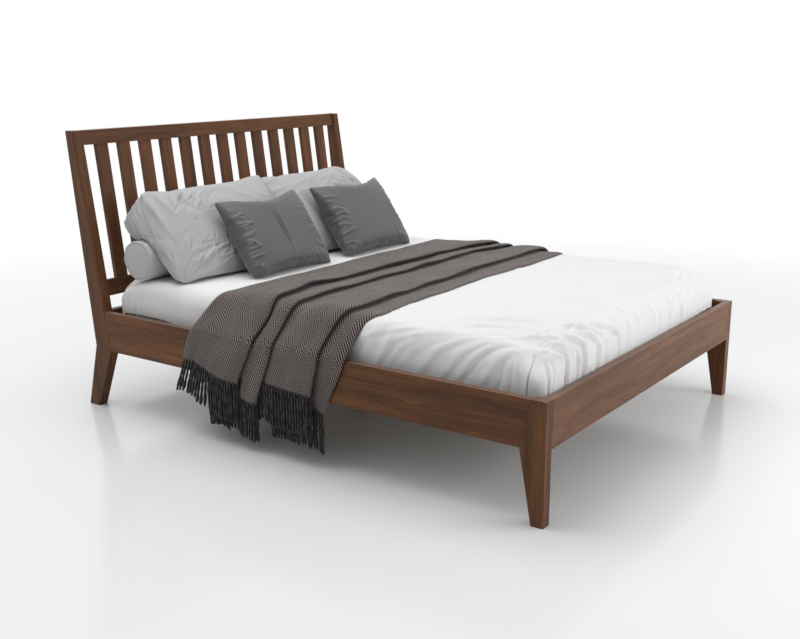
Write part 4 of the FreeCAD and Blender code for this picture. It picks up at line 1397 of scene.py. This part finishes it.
class BED_OT_frame_finish(bpy.types.Operator):
    """Give the wooden frame its walnut stain, with the grain along each piece"""

    bl_idname = "bed.frame_finish"
    bl_label = "Frame finish"

    def execute(self, context):
        wood = settings()[0]
        for along, nodes in DARK_WOOD_ALONG.items():
            material = wood_material("walnut_along_" + along, along, wood.dark, wood.middle, wood.light)
            dress_nodes(nodes, material)
        return {"FINISHED"}


class BED_OT_support_finish(bpy.types.Operator):
    """Finish the softwood support and the steel fittings under the mattress"""

    bl_idname = "bed.support_finish"
    bl_label = "Support finish"

    def execute(self, context):
        wood = settings()[0]
        dark = tuple(0.55 * part for part in wood.pale)
        light = tuple(1.22 * part for part in wood.pale)
        for along, nodes in PALE_WOOD_ALONG.items():
            dress_nodes(nodes, wood_material("softwood_along_" + along, along, dark, wood.pale, light))
        dress_nodes(STEEL_NODES, steel_material("zinc_steel", wood.steel))
        return {"FINISHED"}


def dress_nodes(nodes, material):
    for node in nodes:
        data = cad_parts[node].data
        data.materials.clear()
        data.materials.append(material)


class BED_OT_mattress(bpy.types.Operator):
    """Make the mattress"""

    bl_idname = "bed.mattress"
    bl_label = "Mattress"

    def execute(self, context):
        make_mattress()
        return {"FINISHED"}


class BED_OT_sheet(bpy.types.Operator):
    """Stretch the white sheet over the mattress"""

    bl_idname = "bed.sheet"
    bl_label = "Sheet"

    def execute(self, context):
        make_sheet()
        return {"FINISHED"}


class BED_OT_bolster(bpy.types.Operator):
    """Make the bolster across the head of the bed"""

    bl_idname = "bed.bolster"
    bl_label = "Bolster"

    def execute(self, context):
        make_bolster()
        return {"FINISHED"}


class BED_OT_pillows(bpy.types.Operator):
    """Fill the two pillows and lean them on the bolster"""

    bl_idname = "bed.pillows"
    bl_label = "Pillows"

    def execute(self, context):
        make_pillow("pillow_left_case", "pillow_left", -1, (1.0, 0.3), 0.0, 21)
        make_pillow("pillow_right_case", "pillow_right", 1, (0.9, 0.7), 0.02, 22)
        return {"FINISHED"}


class BED_OT_cushions(bpy.types.Operator):
    """Fill the two satin cushions and lean them on the pillows"""

    bl_idname = "bed.cushions"
    bl_label = "Cushions"

    def execute(self, context):
        make_cushion("cushion_left_cover", "cushion_left", "cushion_left", 2, (0.015, 0.026), 0.0, 31)
        make_cushion("cushion_right_cover", "cushion_right", "cushion_right", 0, (0.07, 0.020), 0.018, 32)
        return {"FINISHED"}


class BED_OT_throw(bpy.types.Operator):
    """Fold the throw across the bed, with its fringe"""

    bl_idname = "bed.throw"
    bl_label = "Throw"

    def execute(self, context):
        make_throw()
        return {"FINISHED"}


class BED_OT_stage(bpy.types.Operator):
    """Set up the floor, the soft light and the camera"""

    bl_idname = "bed.stage"
    bl_label = "Studio"

    def execute(self, context):
        make_stage()
        return {"FINISHED"}


def area_light(name, place, aim, size, power):
    data = bpy.data.lights.new(name, "AREA")
    data.shape = "RECTANGLE"
    data.size, data.size_y = size
    data.energy = power
    lamp = bpy.data.objects.new(name, data)
    lamp.location = place
    lamp.rotation_euler = (Vector(aim) - Vector(place)).to_track_quat("-Z", "Y").to_euler()
    bpy.context.scene.collection.objects.link(lamp)


def make_world():
    world = bpy.data.worlds.new("studio_air")
    bpy.context.scene.world = world
    world.use_nodes = True
    tree = world.node_tree
    base = tree.nodes["Background"]
    base.inputs["Color"].default_value = (1, 1, 1, 1)
    way = add_node(tree, "ShaderNodeTexCoord").outputs["Generated"]
    rise = add_node(tree, "ShaderNodeSeparateXYZ", {0: way}).outputs["Z"]
    tree.links.new(remap(tree, rise, 0.0, 0.45, 0.03, 0.55), base.inputs["Strength"])
    seen = add_node(tree, "ShaderNodeBackground", {"Color": (1, 1, 1, 1), "Strength": 1.0})
    shown = shown_rays(tree)
    mixed = add_node(tree, "ShaderNodeMixShader", {0: shown, 1: base.outputs[0], 2: seen.outputs[0]})
    tree.links.new(mixed.outputs[0], tree.nodes["World Output"].inputs["Surface"])


def make_stage():
    stage = settings()[2]
    clear_selection()
    bpy.ops.mesh.primitive_plane_add(size=stage.floor_size, location=(0, 0, 0))
    floor = bpy.context.object
    floor.name = "studio_floor"
    floor.data.materials.append(floor_material("studio_floor", stage.floor))
    make_world()
    area_light("overhead", (-0.4, 1.2, 4.2), (-0.1, 0.4, 0.4), (4.5, 4.0), 118)
    area_light("front_fill", (0.8, -3.7, 1.3), (0.2, -1.1, 0.35), (2.6, 1.6), 47)
    scene = bpy.context.scene
    scene.view_settings.view_transform = "Standard"
    eye = bpy.data.cameras.new("photo_camera")
    eye.lens = stage.lens
    eye.sensor_width = 36.0
    camera = bpy.data.objects.new("photo_camera", eye)
    camera.location = (-3.603, -2.5055, 1.434)
    camera.rotation_euler = (math.radians(76.09), 0, math.radians(-54.68))
    scene.collection.objects.link(camera)
    scene.camera = camera


class BED_PT_panel(bpy.types.Panel):
    """Sizes, colours and steps of the bed"""

    bl_idname = "BED_PT_panel"
    bl_label = "Slatted Double Bed"
    bl_space_type = "VIEW_3D"
    bl_region_type = "UI"
    bl_category = "Bed"

    def draw(self, context):
        for group in settings():
            box = self.layout.box()
            for name in group.bl_rna.properties.keys():
                if name not in ("rna_type", "name"):
                    box.prop(group, name)
        for step in STEPS:
            self.layout.operator(step.bl_idname)


STEPS = (
    BED_OT_stage,
    BED_OT_frame_finish,
    BED_OT_support_finish,
    BED_OT_mattress,
    BED_OT_sheet,
    BED_OT_bolster,
    BED_OT_pillows,
    BED_OT_cushions,
    BED_OT_throw,
)
GROUPS = (("bed_wood", BedWood), ("bed_cloth", BedCloth), ("bed_stage", BedStage))


def register():
    for name, group in GROUPS:
        bpy.utils.register_class(group)
        setattr(bpy.types.Scene, name, PointerProperty(type=group))
    for item in (*STEPS, BED_PT_panel):
        bpy.utils.register_class(item)


def unregister():
    for item in reversed((*STEPS, BED_PT_panel)):
        bpy.utils.unregister_class(item)
    for name, group in reversed(GROUPS):
        delattr(bpy.types.Scene, name)
        bpy.utils.unregister_class(group)


def main():
    register()
    for step in STEPS:
        area, action = step.bl_idname.split(".")
        getattr(getattr(bpy.ops, area), action)()


if __name__ == "__main__":
    main()
